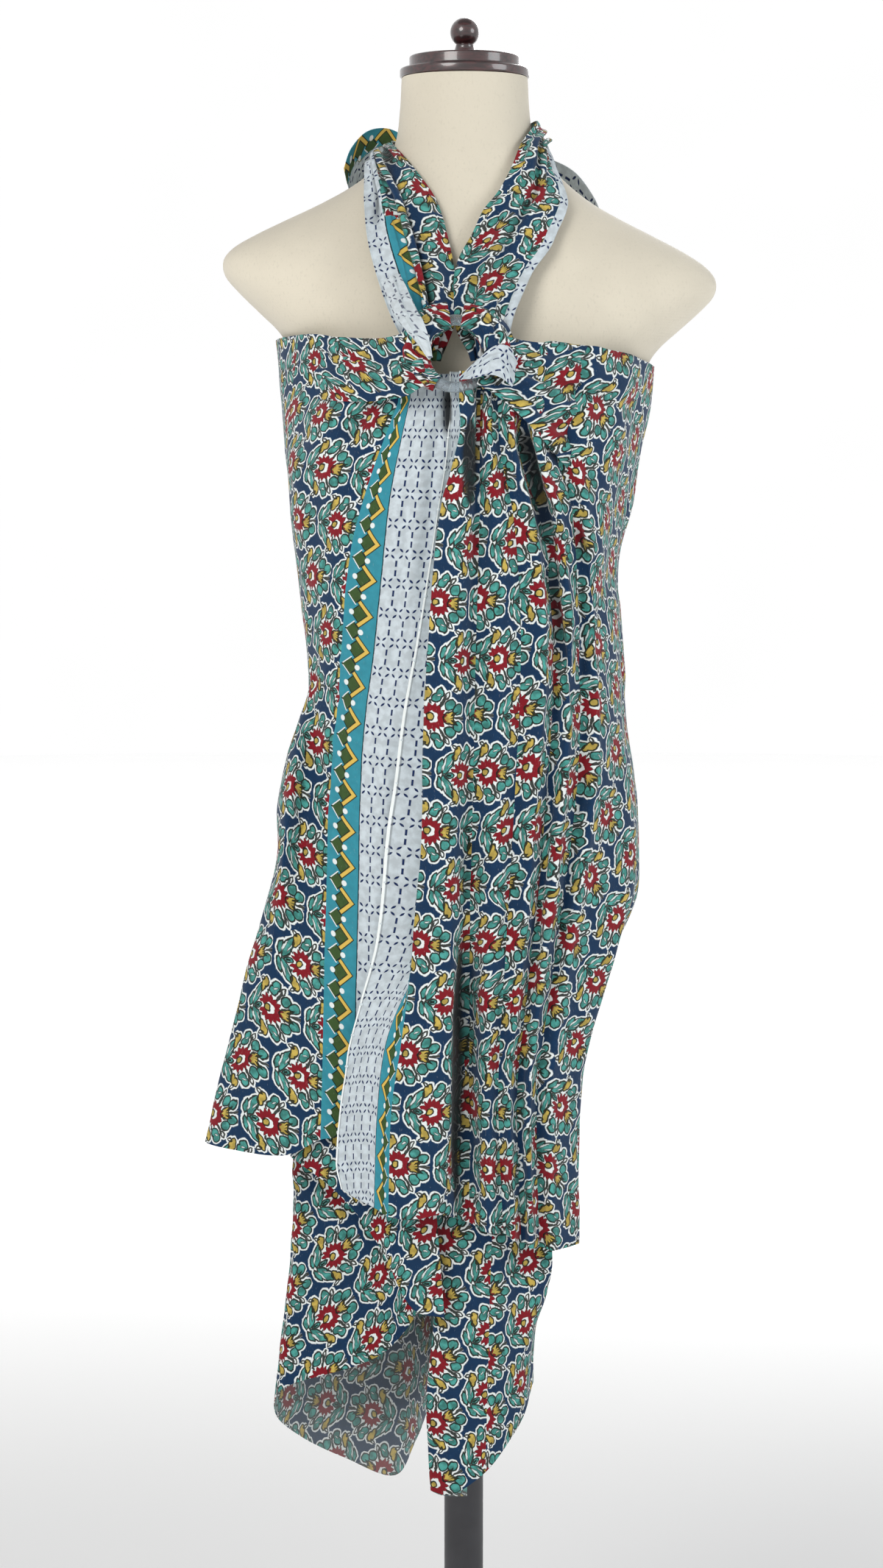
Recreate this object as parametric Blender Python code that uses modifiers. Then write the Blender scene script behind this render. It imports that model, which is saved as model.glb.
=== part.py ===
"""A sarong tied as a halter: block-printed cotton drawn through a clear ring, on a limbless dress form.

Run with blender --background --python part.py, or from the text editor. Metres, +Z up, the front faces -Y.
The origin is the middle of the base's underside.
"""
import math

import bmesh
import bpy
from mathutils import Vector

# Driving sizes of the form and its stand
NECK_TOP = 1.4905
NECK_RADIUS = 0.050
CAP_FLANGE_RADIUS = 0.0515
CAP_STEP_RADIUS = 0.044
CAP_HEIGHT = 0.017
KNOB_RADIUS = 0.0115
KNOB_NECK_RADIUS = 0.008
KNOB_MIDDLE = 0.0185         # height of the ball's middle over the cap
KNOB_STEPS = 10              # points down the ball's side
POLE_RADIUS = 0.016
BASE_RADIUS = 0.17
BASE_HEIGHT = 0.020
GAP = 0.0003
SHOULDER_TILT = 0.041        # the right shoulder sits lower than the left one

# Driving sizes of the cloth
WALL = 0.0013                # thickness of the cloth walls
RING_CENTRE = (-0.0075, -0.1455, 1.2690)
RING_RADIUS = 0.026          # to the middle of the ring's section
RING_SECTION = 0.0042
RING_LEAN = math.radians(12.0)
TURN_SEAT = RING_SECTION + WALL / 2.0 + 2.0 * GAP    # cloth drawn tight on the inner side of the ring
TURN_OPEN = math.radians(8.0)                        # half the slit where a turn's long edges meet
RING_FACETS = (7, 24)        # round the ring's section, and along the ring

# Cloth turned round the ring: name, arc along the ring from its right (degrees), thickness of the roll
TURNS = (
    ("left_turn", 112.0, 205.0, 0.0155),
    ("right_turn", 68.0, -25.0, 0.0162),
)
KNOT_CENTRE = (0.0, 0.082, 1.420)
KNOT_SIZE = (0.0185, 0.0150, 0.0200)

# Sections of the form: height, half width, depth in front, depth behind, shift to the right
FORM_SECTIONS = (
    (0.8380, 0.120, 0.087, 0.092, 0.000),
    (0.8410, 0.128, 0.095, 0.100, 0.000),
    (0.8480, 0.134, 0.099, 0.104, 0.000),
    (0.8650, 0.1345, 0.100, 0.106, 0.000),
    (0.9000, 0.131, 0.100, 0.102, 0.000),
    (0.9500, 0.124, 0.098, 0.092, 0.000),
    (1.0000, 0.116, 0.095, 0.082, 0.000),
    (1.0500, 0.113, 0.096, 0.080, 0.000),
    (1.1000, 0.117, 0.102, 0.084, 0.000),
    (1.1500, 0.128, 0.112, 0.090, 0.000),
    (1.2000, 0.133, 0.118, 0.094, 0.001),
    (1.2500, 0.140, 0.116, 0.096, 0.002),
    (1.2720, 0.144, 0.111, 0.096, 0.003),
    (1.2850, 0.152, 0.106, 0.096, 0.004),
    (1.3000, 0.168, 0.100, 0.095, 0.004),
    (1.3160, 0.185, 0.094, 0.093, 0.004),
    (1.3280, 0.195, 0.089, 0.090, 0.004),
    (1.3400, 0.196, 0.084, 0.086, 0.004),
    (1.3500, 0.188, 0.080, 0.082, 0.004),
    (1.3600, 0.172, 0.076, 0.078, 0.004),
    (1.3720, 0.148, 0.071, 0.074, 0.003),
    (1.3850, 0.121, 0.066, 0.070, 0.002),
    (1.3970, 0.099, 0.062, 0.066, 0.001),
    (1.4100, 0.081, 0.058, 0.062, 0.000),
    (1.4240, 0.066, 0.055, 0.058, 0.000),
    (1.4390, 0.0555, 0.053, 0.054, 0.000),
    (1.4630, 0.0516, 0.0515, 0.0515, 0.000),
    (NECK_TOP, NECK_RADIUS, NECK_RADIUS, NECK_RADIUS, 0.000),
)
FORM_SIDES = 36
FORM_POWER = 2.15            # a little squarer than an ellipse

# Front of the draped cloth: height, reach to the left, reach to the right, depth at the middle
DRAPE_SECTIONS = (
    (1.285, 0.152, 0.154, 0.124),
    (1.250, 0.150, 0.153, 0.133),
    (1.200, 0.144, 0.144, 0.134),
    (1.150, 0.139, 0.137, 0.131),
    (1.100, 0.135, 0.128, 0.127),
    (1.050, 0.130, 0.129, 0.123),
    (1.000, 0.127, 0.131, 0.120),
    (0.950, 0.145, 0.138, 0.119),
    (0.900, 0.155, 0.144, 0.119),
    (0.860, 0.160, 0.142, 0.119),
    (0.780, 0.185, 0.128, 0.117),
    (0.650, 0.225, 0.120, 0.113),
    (0.560, 0.240, 0.120, 0.110),
)


def smooth_step(low, high, value):
    """0 below low, 1 above high, with a soft change between them."""
    t = min(1.0, max(0.0, (value - low) / (high - low)))
    return t * t * (3.0 - 2.0 * t)


def between(rows, key):
    """Reads a table whose first column rises or falls: the other columns at key, on a soft curve."""
    rows = sorted(rows)
    if key <= rows[0][0]:
        return rows[0][1:]
    if key >= rows[-1][0]:
        return rows[-1][1:]
    i = max(j for j in range(len(rows) - 1) if rows[j][0] <= key)
    a, b = rows[i], rows[i + 1]
    before, after = rows[max(i - 1, 0)], rows[min(i + 2, len(rows) - 1)]
    span = b[0] - a[0]
    t = (key - a[0]) / span
    found = []
    for column in range(1, len(a)):
        slope_a = (b[column] - before[column]) / (b[0] - before[0]) * span
        slope_b = (after[column] - a[column]) / (after[0] - a[0]) * span
        found.append((2*t**3 - 3*t**2 + 1) * a[column] + (t**3 - 2*t**2 + t) * slope_a
                     + (3*t**2 - 2*t**3) * b[column] + (t**3 - t**2) * slope_b)
    return tuple(found)


def form_tilt(x, z):
    """How far the form's surface is lowered at x for its uneven shoulders."""
    return SHOULDER_TILT * x * smooth_step(1.20, 1.27, z) * (1.0 - smooth_step(1.39, 1.43, z))


def form_point(z, angle, out=0.0):
    """A point on the form at height z, angle 0 at the right and turning towards the back."""
    half, front, back, shift = between(FORM_SECTIONS, z)
    c, s = math.cos(angle), math.sin(angle)
    depth = back if s > 0.0 else front
    x = math.copysign(abs(c) ** (2.0 / FORM_POWER), c) * (half + out)
    y = math.copysign(abs(s) ** (2.0 / FORM_POWER), s) * (depth + out)
    return Vector((x + shift, y, z - form_tilt(x + shift, z)))


def drape_front(x, z):
    """The front of the draped cloth at x and z, before any fold is added: its y."""
    left, right, depth = between(DRAPE_SECTIONS, z)
    reach = right if x > 0.0 else left
    side = min(abs(x) / reach, 0.985)
    return -depth * (1.0 - side ** 2.3) ** (1.0 / 2.3)


def material(name, colour, roughness, metallic=0.0):
    made = bpy.data.materials.new(name)
    made.use_nodes = True
    shader = made.node_tree.nodes["Principled BSDF"]
    shader.inputs["Base Color"].default_value = (*colour, 1.0)
    shader.inputs["Roughness"].default_value = roughness
    shader.inputs["Metallic"].default_value = metallic
    made.diffuse_color = (*colour, 1.0)
    return made


def finished(name, bm, mat, parts):
    """Turns a bmesh into a named object of the part."""
    mesh = bpy.data.meshes.new(name)
    bm.to_mesh(mesh)
    bm.free()
    mesh.materials.append(mat)
    mesh.shade_smooth()
    made = bpy.data.objects.new(name, mesh)
    parts.objects.link(made)
    return made


def turned(name, profile, sides, mat, parts, centre=(0.0, 0.0, 0.0)):
    """A turned piece: the profile's points (radius, height) run from the top down its outer side."""
    bm = bmesh.new()
    spots = [bm.verts.new((radius, 0.0, height)) for radius, height in profile]
    for a, b in zip(spots, spots[1:]):
        bm.edges.new((a, b))
    made = finished(name, bm, mat, parts)
    made.location = centre
    screw = made.modifiers.new("Turn", 'SCREW')
    screw.axis = 'Z'
    screw.angle = 2.0 * math.pi
    screw.steps = sides
    screw.render_steps = sides
    screw.use_merge_vertices = True
    screw.merge_threshold = 1e-5
    screw.use_normal_calculate = False
    return made


def cloth_wall(name, across, down, place, mat, parts):
    """A cloth wall: a grid of across by down squares, laid out by place(u, v) and given its thickness."""
    bm = bmesh.new()
    bmesh.ops.create_grid(bm, x_segments=across, y_segments=down, size=0.5)
    for spot in bm.verts:
        u, v = spot.co.x + 0.5, 0.5 - spot.co.y
        spot.co = place(u, v)
    made = finished(name, bm, mat, parts)
    wall = made.modifiers.new("Thickness", 'SOLIDIFY')
    wall.thickness = WALL
    wall.offset = 0.0
    wall.use_even_offset = False
    return made


# The fold lines of the hanging cloth, from the hidden left selvedge round the back to the right one.
# A row is one fold line: its name, how far it stands proud of the draped front above and below the waist fold,
# and its knots (height, x, y) from the top edge down to the hem. A y of FRONT lies on the draped front.
FRONT = None
FOLD_LINES = (
    ("left selvedge", 0.000, 0.000, (
        (1.2370, -0.010, FRONT), (1.157, -0.006, FRONT), (1.050, -0.018, FRONT), (0.940, -0.031, FRONT),
        (0.820, -0.036, FRONT), (0.662, -0.040, FRONT))),
    ("white middle", 0.0015, 0.001, (
        (1.2370, -0.026, FRONT), (1.157, -0.032, FRONT), (1.050, -0.044, FRONT), (0.940, -0.057, FRONT),
        (0.820, -0.060, FRONT), (0.660, -0.064, FRONT))),
    ("left teal inner", 0.000, 0.000, (
        (1.2365, -0.042, FRONT), (1.205, -0.049, FRONT), (1.157, -0.058, FRONT), (1.050, -0.0695, FRONT),
        (0.977, -0.079, FRONT), (0.880, -0.0825, FRONT), (0.820, -0.084, FRONT), (0.659, -0.088, FRONT))),
    ("left teal outer", 0.001, 0.001, (
        (1.2330, -0.0505, FRONT), (1.169, -0.074, FRONT), (1.110, -0.089, FRONT), (1.020, -0.097, FRONT),
        (0.935, -0.1045, FRONT), (0.820, -0.108, FRONT), (0.658, -0.112, FRONT))),
    ("left front", 0.003, 0.003, (
        (1.2640, -0.060, FRONT), (1.200, -0.088, FRONT), (1.130, -0.104, FRONT), (1.020, -0.112, FRONT),
        (0.940, -0.123, FRONT), (0.820, -0.132, FRONT), (0.644, -0.140, FRONT))),
    ("left flare", 0.002, 0.002, (
        (1.2765, -0.080, FRONT), (1.200, -0.112, FRONT), (1.100, -0.121, FRONT), (1.010, -0.119, FRONT),
        (0.950, -0.133, -0.082), (0.820, -0.151, -0.088), (0.646, -0.182, -0.088))),
    ("left outline", 0.000, 0.000, (
        (1.2830, -0.100, FRONT), (1.200, -0.130, -0.066), (1.100, -0.1285, -0.052), (1.012, -0.1225, -0.046),
        (0.982, -0.133, -0.050), (0.955, -0.1415, -0.054), (0.920, -0.148, -0.058), (0.877, -0.1495, -0.062),
        (0.827, -0.1626, -0.064), (0.757, -0.181, -0.066), (0.649, -0.207, -0.068))),
    ("left turn back", 0.000, 0.000, (
        (1.2860, -0.119, FRONT), (1.200, -0.139, -0.042), (1.100, -0.1325, -0.033), (1.012, -0.1240, -0.030),
        (0.982, -0.1275, -0.033), (0.920, -0.138, -0.043), (0.827, -0.152, -0.050), (0.757, -0.168, -0.052),
        (0.652, -0.190, -0.054))),
    ("left inner", 0.000, 0.000, (
        (1.2860, -0.136, -0.052), (1.200, -0.142, -0.024), (1.100, -0.1340, -0.016), (1.012, -0.1245, -0.017),
        (0.970, -0.1260, -0.028), (0.920, -0.1300, -0.050), (0.870, -0.126, -0.074), (0.800, -0.110, -0.086),
        (0.720, -0.090, -0.088), (0.655, -0.082, -0.086))),
    ("left valley", 0.000, 0.000, (
        (1.2855, -0.144, -0.034), (1.200, -0.1435, -0.012), (1.100, -0.1345, -0.004), (1.012, -0.1245, -0.006),
        (0.960, -0.1275, -0.022), (0.920, -0.127, -0.044), (0.880, -0.117, -0.064), (0.830, -0.084, -0.083),
        (0.760, -0.043, -0.077), (0.700, -0.024, -0.074), (0.600, -0.012, -0.071))),
    ("left low inner", 0.000, 0.000, (
        (1.2850, -0.1485, -0.016), (1.200, -0.1440, 0.000), (1.100, -0.1345, 0.006), (1.012, -0.1245, 0.004),
        (0.960, -0.1285, -0.008), (0.900, -0.1320, -0.030), (0.845, -0.122, -0.056), (0.780, -0.094, -0.060),
        (0.680, -0.066, -0.056), (0.478, -0.058, -0.053))),
    ("left low outline", 0.000, 0.000, (
        (1.2845, -0.1505, 0.000), (1.200, -0.1435, 0.014), (1.100, -0.1335, 0.018), (1.012, -0.1240, 0.016),
        (0.950, -0.1315, 0.006), (0.900, -0.1375, -0.002), (0.845, -0.1375, -0.010), (0.680, -0.1365, -0.026),
        (0.578, -0.1360, -0.028), (0.500, -0.1425, -0.030), (0.434, -0.1505, -0.030))),
    ("left low turn", 0.000, 0.000, (
        (1.2840, -0.1500, 0.016), (1.200, -0.1410, 0.028), (1.100, -0.1305, 0.030), (1.012, -0.1215, 0.028),
        (0.950, -0.1300, 0.022), (0.900, -0.1365, 0.016), (0.800, -0.1385, -0.002), (0.680, -0.1390, -0.012),
        (0.578, -0.1385, -0.014), (0.500, -0.1455, -0.016), (0.412, -0.1545, -0.018))),
    ("low back left", 0.000, 0.000, (
        (1.2820, -0.1360, 0.050), (1.200, -0.1240, 0.057), (1.100, -0.1150, 0.053), (1.012, -0.1080, 0.050),
        (0.950, -0.1180, 0.056), (0.900, -0.1260, 0.059), (0.840, -0.1280, 0.054), (0.680, -0.1260, 0.022),
        (0.550, -0.1240, 0.014), (0.386, -0.1360, 0.006))),
    ("back left", 0.000, 0.000, (
        (1.2780, -0.0900, 0.088), (1.200, -0.0860, 0.083), (1.100, -0.0780, 0.075), (1.012, -0.0740, 0.073),
        (0.900, -0.0880, 0.094), (0.820, -0.0940, 0.090), (0.680, -0.0960, 0.056), (0.550, -0.0980, 0.036),
        (0.360, -0.1000, 0.030))),
    ("low corner", 0.000, 0.000, (
        (1.2700, -0.0420, 0.1010), (1.200, -0.0400, 0.0985), (1.100, -0.0360, 0.089), (1.012, -0.0350, 0.088),
        (0.900, -0.0440, 0.108), (0.820, -0.0500, 0.110), (0.680, -0.0520, 0.078), (0.550, -0.0540, 0.058),
        (0.339, -0.0560, 0.050))),
    ("low turn", 0.000, 0.000, (
        (1.2660, -0.0140, 0.1040), (1.200, -0.0140, 0.1010), (1.100, -0.0120, 0.0915), (1.012, -0.0120, 0.090),
        (0.900, -0.0160, 0.1110), (0.820, -0.0240, 0.118), (0.680, -0.0300, 0.098), (0.550, -0.0340, 0.074),
        (0.366, -0.0400, 0.064))),
    ("back ridge", 0.000, 0.000, (
        (1.2620, 0.0120, 0.1040), (1.200, 0.0120, 0.1010), (1.100, 0.0100, 0.0915), (1.012, 0.0100, 0.090),
        (0.900, 0.0120, 0.1120), (0.800, 0.0080, 0.124), (0.680, 0.0000, 0.118), (0.550, -0.0120, 0.106),
        (0.402, -0.0200, 0.098))),
    ("back hollow", 0.000, 0.000, (
        (1.2600, 0.0400, 0.1015), (1.200, 0.0380, 0.0990), (1.100, 0.0340, 0.0895), (1.012, 0.0340, 0.088),
        (0.900, 0.0400, 0.1090), (0.830, 0.0380, 0.1090), (0.680, 0.0260, 0.090), (0.550, 0.0140, 0.082),
        (0.416, 0.0060, 0.078))),
    ("back right", 0.000, 0.000, (
        (1.2600, 0.0900, 0.0890), (1.200, 0.0860, 0.084), (1.100, 0.0770, 0.076), (1.012, 0.0780, 0.073),
        (0.900, 0.0900, 0.096), (0.830, 0.0860, 0.104), (0.680, 0.0580, 0.096), (0.550, 0.0420, 0.092),
        (0.424, 0.0320, 0.088))),
    ("low right turn", 0.000, 0.000, (
        (1.2620, 0.1340, 0.0520), (1.200, 0.1240, 0.056), (1.100, 0.1110, 0.052), (1.012, 0.1150, 0.049),
        (0.900, 0.1260, 0.060), (0.835, 0.1230, 0.064), (0.680, 0.0780, 0.060), (0.550, 0.0580, 0.052),
        (0.430, 0.0430, 0.048))),
    ("low right outline", 0.000, 0.000, (
        (1.2630, 0.1490, 0.0160), (1.200, 0.1400, 0.018), (1.100, 0.1245, 0.016), (1.012, 0.1290, 0.014),
        (0.900, 0.1385, 0.014), (0.840, 0.1385, 0.014), (0.780, 0.1130, 0.012), (0.680, 0.0840, 0.008),
        (0.550, 0.0600, 0.006), (0.440, 0.0450, 0.006))),
    ("right hip", 0.000, 0.000, (
        (1.2635, 0.1515, -0.0020), (1.2265, 0.1480, -0.002), (1.192, 0.1405, -0.003), (1.150, 0.1340, -0.005),
        (1.1056, 0.1220, -0.006), (1.0686, 0.1260, -0.008), (1.019, 0.1290, -0.010), (0.994, 0.1265, -0.010),
        (0.967, 0.1325, -0.010), (0.933, 0.1375, -0.012), (0.895, 0.1405, -0.014), (0.840, 0.1390, -0.018),
        (0.780, 0.1120, -0.024), (0.680, 0.0780, -0.024), (0.550, 0.0560, -0.024), (0.460, 0.0460, -0.024))),
    ("right inner", 0.000, 0.000, (
        (1.2640, 0.1495, -0.0220), (1.200, 0.1385, -0.022), (1.1056, 0.1195, -0.024), (1.0686, 0.1230, -0.026),
        (1.000, 0.1255, -0.026), (0.933, 0.1345, -0.030), (0.895, 0.1375, -0.034), (0.840, 0.1340, -0.044),
        (0.790, 0.1040, -0.054), (0.700, 0.0730, -0.050), (0.560, 0.0600, -0.046))),
    ("right outline", 0.000, 0.000, (
        (1.2665, 0.1430, -0.0440), (1.200, 0.1320, -0.046), (1.1056, 0.1140, -0.044), (1.0686, 0.1180, -0.048),
        (1.000, 0.1210, -0.048), (0.933, 0.1290, -0.054), (0.880, 0.1325, -0.060), (0.828, 0.1270, -0.068),
        (0.784, 0.1150, -0.072), (0.744, 0.1025, -0.073), (0.700, 0.0935, -0.073), (0.654, 0.0915, -0.071),
        (0.567, 0.0915, -0.070))),
    ("right front", 0.002, 0.002, (
        (1.2710, 0.1260, FRONT), (1.200, 0.1140, FRONT), (1.100, 0.1020, FRONT), (1.000, 0.1080, FRONT),
        (0.900, 0.1100, FRONT), (0.800, 0.0930, FRONT), (0.700, 0.0780, FRONT), (0.568, 0.0780, FRONT))),
    ("fold C", 0.009, 0.008, (
        (1.2750, 0.1000, FRONT), (1.190, 0.0860, FRONT), (1.148, 0.0930, FRONT), (1.113, 0.0960, FRONT),
        (1.038, 0.1000, FRONT), (0.940, 0.1000, FRONT), (0.800, 0.0800, FRONT), (0.700, 0.0670, FRONT),
        (0.569, 0.0690, FRONT))),
    ("hollow C", -0.001, 0.000, (
        (1.2785, 0.0780, FRONT), (1.200, 0.0690, FRONT), (1.150, 0.0820, FRONT), (1.100, 0.0870, FRONT),
        (1.038, 0.0890, FRONT), (0.940, 0.0880, FRONT), (0.800, 0.0700, FRONT), (0.700, 0.0570, FRONT),
        (0.571, 0.0590, FRONT))),
    ("fold B", 0.010, 0.009, (
        (1.2770, 0.0580, FRONT), (1.193, 0.0560, FRONT), (1.150, 0.0700, FRONT), (1.100, 0.0770, FRONT),
        (1.038, 0.0800, FRONT), (0.940, 0.0760, FRONT), (0.800, 0.0610, FRONT), (0.700, 0.0500, FRONT),
        (0.573, 0.0520, FRONT))),
    ("hollow B", 0.000, 0.001, (
        (1.2600, 0.0460, FRONT), (1.193, 0.0440, FRONT), (1.150, 0.0590, FRONT), (1.100, 0.0670, FRONT),
        (1.038, 0.0690, FRONT), (0.940, 0.0650, FRONT), (0.800, 0.0520, FRONT), (0.700, 0.0420, FRONT),
        (0.576, 0.0450, FRONT))),
    ("fold A", 0.011, 0.010, (
        (1.2380, 0.0330, FRONT), (1.193, 0.0370, FRONT), (1.150, 0.0490, FRONT), (1.100, 0.0560, FRONT),
        (1.038, 0.0600, FRONT), (0.940, 0.0540, FRONT), (0.800, 0.0430, FRONT), (0.700, 0.0350, FRONT),
        (0.580, 0.0380, FRONT))),
    ("hollow A", 0.004, 0.002, (
        (1.2370, 0.0240, FRONT), (1.193, 0.0270, FRONT), (1.150, 0.0360, FRONT), (1.100, 0.0410, FRONT),
        (1.038, 0.0430, FRONT), (0.940, 0.0390, FRONT), (0.800, 0.0310, FRONT), (0.700, 0.0260, FRONT),
        (0.584, 0.0300, FRONT))),
    ("front middle", 0.010, 0.008, (
        (1.2370, 0.0170, FRONT), (1.193, 0.0180, FRONT), (1.150, 0.0240, FRONT), (1.038, 0.0260, FRONT),
        (0.940, 0.0240, FRONT), (0.800, 0.0190, FRONT), (0.700, 0.0170, FRONT), (0.586, 0.0200, FRONT))),
    ("dark hollow", 0.003, 0.000, (
        (1.2370, 0.0105, FRONT), (1.193, 0.0100, FRONT), (1.150, 0.0100, FRONT), (1.038, 0.0070, FRONT),
        (0.940, 0.0050, FRONT), (0.860, 0.0030, -0.112), (0.780, 0.0020, -0.101), (0.700, 0.0020, -0.099),
        (0.590, 0.0020, -0.098))),
    ("tail outline", 0.014, 0.012, (
        (1.2370, 0.0050, FRONT), (1.193, 0.0040, FRONT), (1.150, 0.0000, FRONT), (1.038, -0.0050, FRONT),
        (0.940, -0.0085, FRONT), (0.833, -0.0115, FRONT), (0.712, -0.0110, FRONT), (0.671, -0.0150, FRONT),
        (0.602, -0.0215, FRONT))),
    ("tail middle", 0.019, 0.018, (
        (1.2370, 0.0000, FRONT), (1.193, -0.0030, FRONT), (1.150, -0.0110, FRONT), (1.038, -0.0180, FRONT),
        (0.940, -0.0210, FRONT), (0.833, -0.0260, FRONT), (0.712, -0.0320, FRONT), (0.599, -0.0400, FRONT))),
    ("leading fold", 0.0155, 0.0165, (
        (1.2370, -0.0045, FRONT), (1.210, -0.0035, FRONT), (1.182, -0.0100, FRONT), (1.161, -0.0165, FRONT),
        (1.120, -0.0230, FRONT), (1.079, -0.0265, FRONT), (1.030, -0.0290, FRONT), (0.956, -0.0310, FRONT),
        (0.902, -0.0330, FRONT), (0.857, -0.0375, FRONT), (0.782, -0.0440, FRONT), (0.742, -0.0495, FRONT),
        (0.683, -0.0575, FRONT), (0.601, -0.0600, FRONT))),
    ("tuck above", 0.0115, 0.0150, (
        (1.2370, -0.0025, FRONT), (1.193, -0.0045, FRONT), (1.150, -0.0105, FRONT), (1.038, -0.0170, FRONT),
        (0.902, -0.0240, FRONT), (0.820, -0.0340, FRONT), (0.742, -0.0565, FRONT), (0.683, -0.0640, FRONT),
        (0.605, -0.0670, FRONT))),
    ("tuck", 0.0085, 0.0132, (
        (1.2370, -0.0005, FRONT), (1.193, -0.0010, FRONT), (1.150, -0.0060, FRONT), (1.038, -0.0110, FRONT),
        (0.902, -0.0180, FRONT), (0.820, -0.0290, FRONT), (0.742, -0.0640, FRONT), (0.683, -0.0720, FRONT),
        (0.609, -0.0745, FRONT))),
    ("tuck below", 0.0055, 0.0110, (
        (1.2370, -0.0030, FRONT), (1.193, -0.0060, FRONT), (1.150, -0.0120, FRONT), (1.038, -0.0190, FRONT),
        (0.902, -0.0300, FRONT), (0.820, -0.0420, FRONT), (0.742, -0.0755, FRONT), (0.683, -0.0850, FRONT),
        (0.614, -0.0860, FRONT))),
    ("right selvedge", 0.0045, 0.0080, (
        (1.2370, -0.0120, FRONT), (1.194, -0.0145, FRONT), (1.148, -0.0215, FRONT), (1.064, -0.0350, FRONT),
        (0.992, -0.0480, FRONT), (0.938, -0.0550, FRONT), (0.902, -0.0605, FRONT), (0.820, -0.0685, FRONT),
        (0.766, -0.0820, FRONT), (0.728, -0.0915, FRONT), (0.6425, -0.1005, FRONT), (0.621, -0.0960, FRONT))),
)

# The layer whose hem shows below both front panels; its top is hidden against the left panel's back
MIDDLE_LINES = (
    ("middle left", -0.0022, -0.0120, ((0.820, -0.130, FRONT), (0.640, -0.138, FRONT))),
    ("middle flower", -0.0020, -0.0095, ((0.835, -0.102, FRONT), (0.7, -0.102, FRONT), (0.613, -0.100, FRONT))),
    ("middle bend", -0.0020, -0.0085, ((0.840, -0.078, FRONT), (0.7, -0.074, FRONT), (0.572, -0.068, FRONT))),
    ("middle tail", -0.0020, -0.0085, ((0.840, -0.055, FRONT), (0.7, -0.048, FRONT), (0.520, -0.040, FRONT))),
    ("middle end", -0.0020, -0.0085, ((0.840, -0.042, FRONT), (0.7, -0.030, FRONT), (0.514, -0.016, FRONT))),
)

# The fold that hangs lowest at the front; its top is hidden behind the right panel
LOW_FOLD_LINES = (
    ("low fold right", 0.0, 0.0, ((0.700, 0.062, -0.071), (0.600, 0.0670, -0.069), (0.549, 0.0705, -0.061),
                                  (0.520, 0.066, -0.051), (0.490, 0.0575, -0.042), (0.443, 0.0560, -0.034))),
    ("low fold shoulder", 0.0, 0.0, ((0.710, 0.052, -0.080), (0.549, 0.052, -0.066), (0.413, 0.0450, -0.052))),
    ("low fold front", 0.0, 0.0, ((0.720, 0.026, -0.0930), (0.549, 0.020, -0.084), (0.378, 0.0160, -0.070))),
    ("low fold left", 0.0, 0.0, ((0.720, -0.002, -0.0978), (0.600, -0.012, -0.090), (0.500, -0.016, -0.084),
                                 (0.362, -0.0120, -0.076))),
    ("low fold edge", 0.0, 0.0, ((0.715, -0.012, -0.0915), (0.600, -0.0215, -0.085), (0.500, -0.0245, -0.079),
                                 (0.440, -0.0305, -0.074), (0.364, -0.0265, -0.071))),
    ("low fold behind", 0.0, 0.0, ((0.700, -0.004, -0.0855), (0.600, -0.014, -0.079), (0.500, -0.018, -0.073),
                                   (0.358, -0.0180, -0.065))),
    ("low fold end", 0.0, 0.0, ((0.690, 0.020, -0.081), (0.600, 0.010, -0.075), (0.500, 0.006, -0.068),
                                (0.356, 0.0020, -0.060))),
)


def fold_spot(row, v):
    """The point of one fold line at v, from 0 at its top to 1 at its hem."""
    _, lift_above, lift_below, knots = row
    top, hem = knots[0][0], knots[-1][0]
    z = top + (hem - top) * v
    x, y = between([(k[0], k[1], 0.0 if k[2] is None else k[2]) for k in knots], z)
    on_front = between([(k[0], 1.0 if k[2] is None else 0.0) for k in knots], z)[0]
    if on_front > 0.0:
        lift = lift_below + (lift_above - lift_below) * smooth_step(0.72, 0.80, z)
        front = drape_front(x, z) - lift
        held = [k for k in knots if k[2] is not None]
        y = front if not held else front * on_front + between_held(held, z) * (1.0 - on_front)
    return Vector((x, y, z))


def between_held(held, z):
    """The y of the knots that give one, at height z."""
    return held[0][2] if len(held) == 1 else between([(k[0], k[2]) for k in held], z)[0]


def sheet_point(lines, k, v):
    """A cloth stretch: k counts along its fold lines, v runs from the top edge to the hem."""
    last = len(lines) - 1
    k = min(max(k, 0.0), float(last))
    i = min(int(k), last - 1)
    t = k - i
    before, here, after, beyond = [fold_spot(lines[min(max(i + n, 0), last)], v) for n in (-1, 0, 1, 2)]
    span = math.sqrt((after - here).length) + 1e-6
    slope_here = slope_after = after - here
    if i > 0:
        back = math.sqrt((here - before).length) + 1e-6
        slope_here = ((here - before) / back - (after - before) / (back + span) + (after - here) / span) * span
    if i < last - 1:
        ahead = math.sqrt((beyond - after).length) + 1e-6
        slope_after = ((after - here) / span - (beyond - here) / (span + ahead) + (beyond - after) / ahead) * span
    return ((2*t**3 - 3*t**2 + 1) * here + (t**3 - 2*t**2 + t) * slope_here
            + (3*t**2 - 2*t**3) * after + (t**3 - t**2) * slope_after)


def stretch(name, lines, ends, down, per_fold, mat, parts):
    """One stretch of hanging cloth, between two places counted along its fold lines."""
    low, high = ends
    across = round((high - low) * per_fold)
    return cloth_wall(name, across, down, lambda u, v: sheet_point(lines, low + (high - low) * u, v), mat, parts)


def line(name, shift=0.0):
    """The place of a fold line, counted along FOLD_LINES."""
    return [row[0] for row in FOLD_LINES].index(name) + shift


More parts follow.
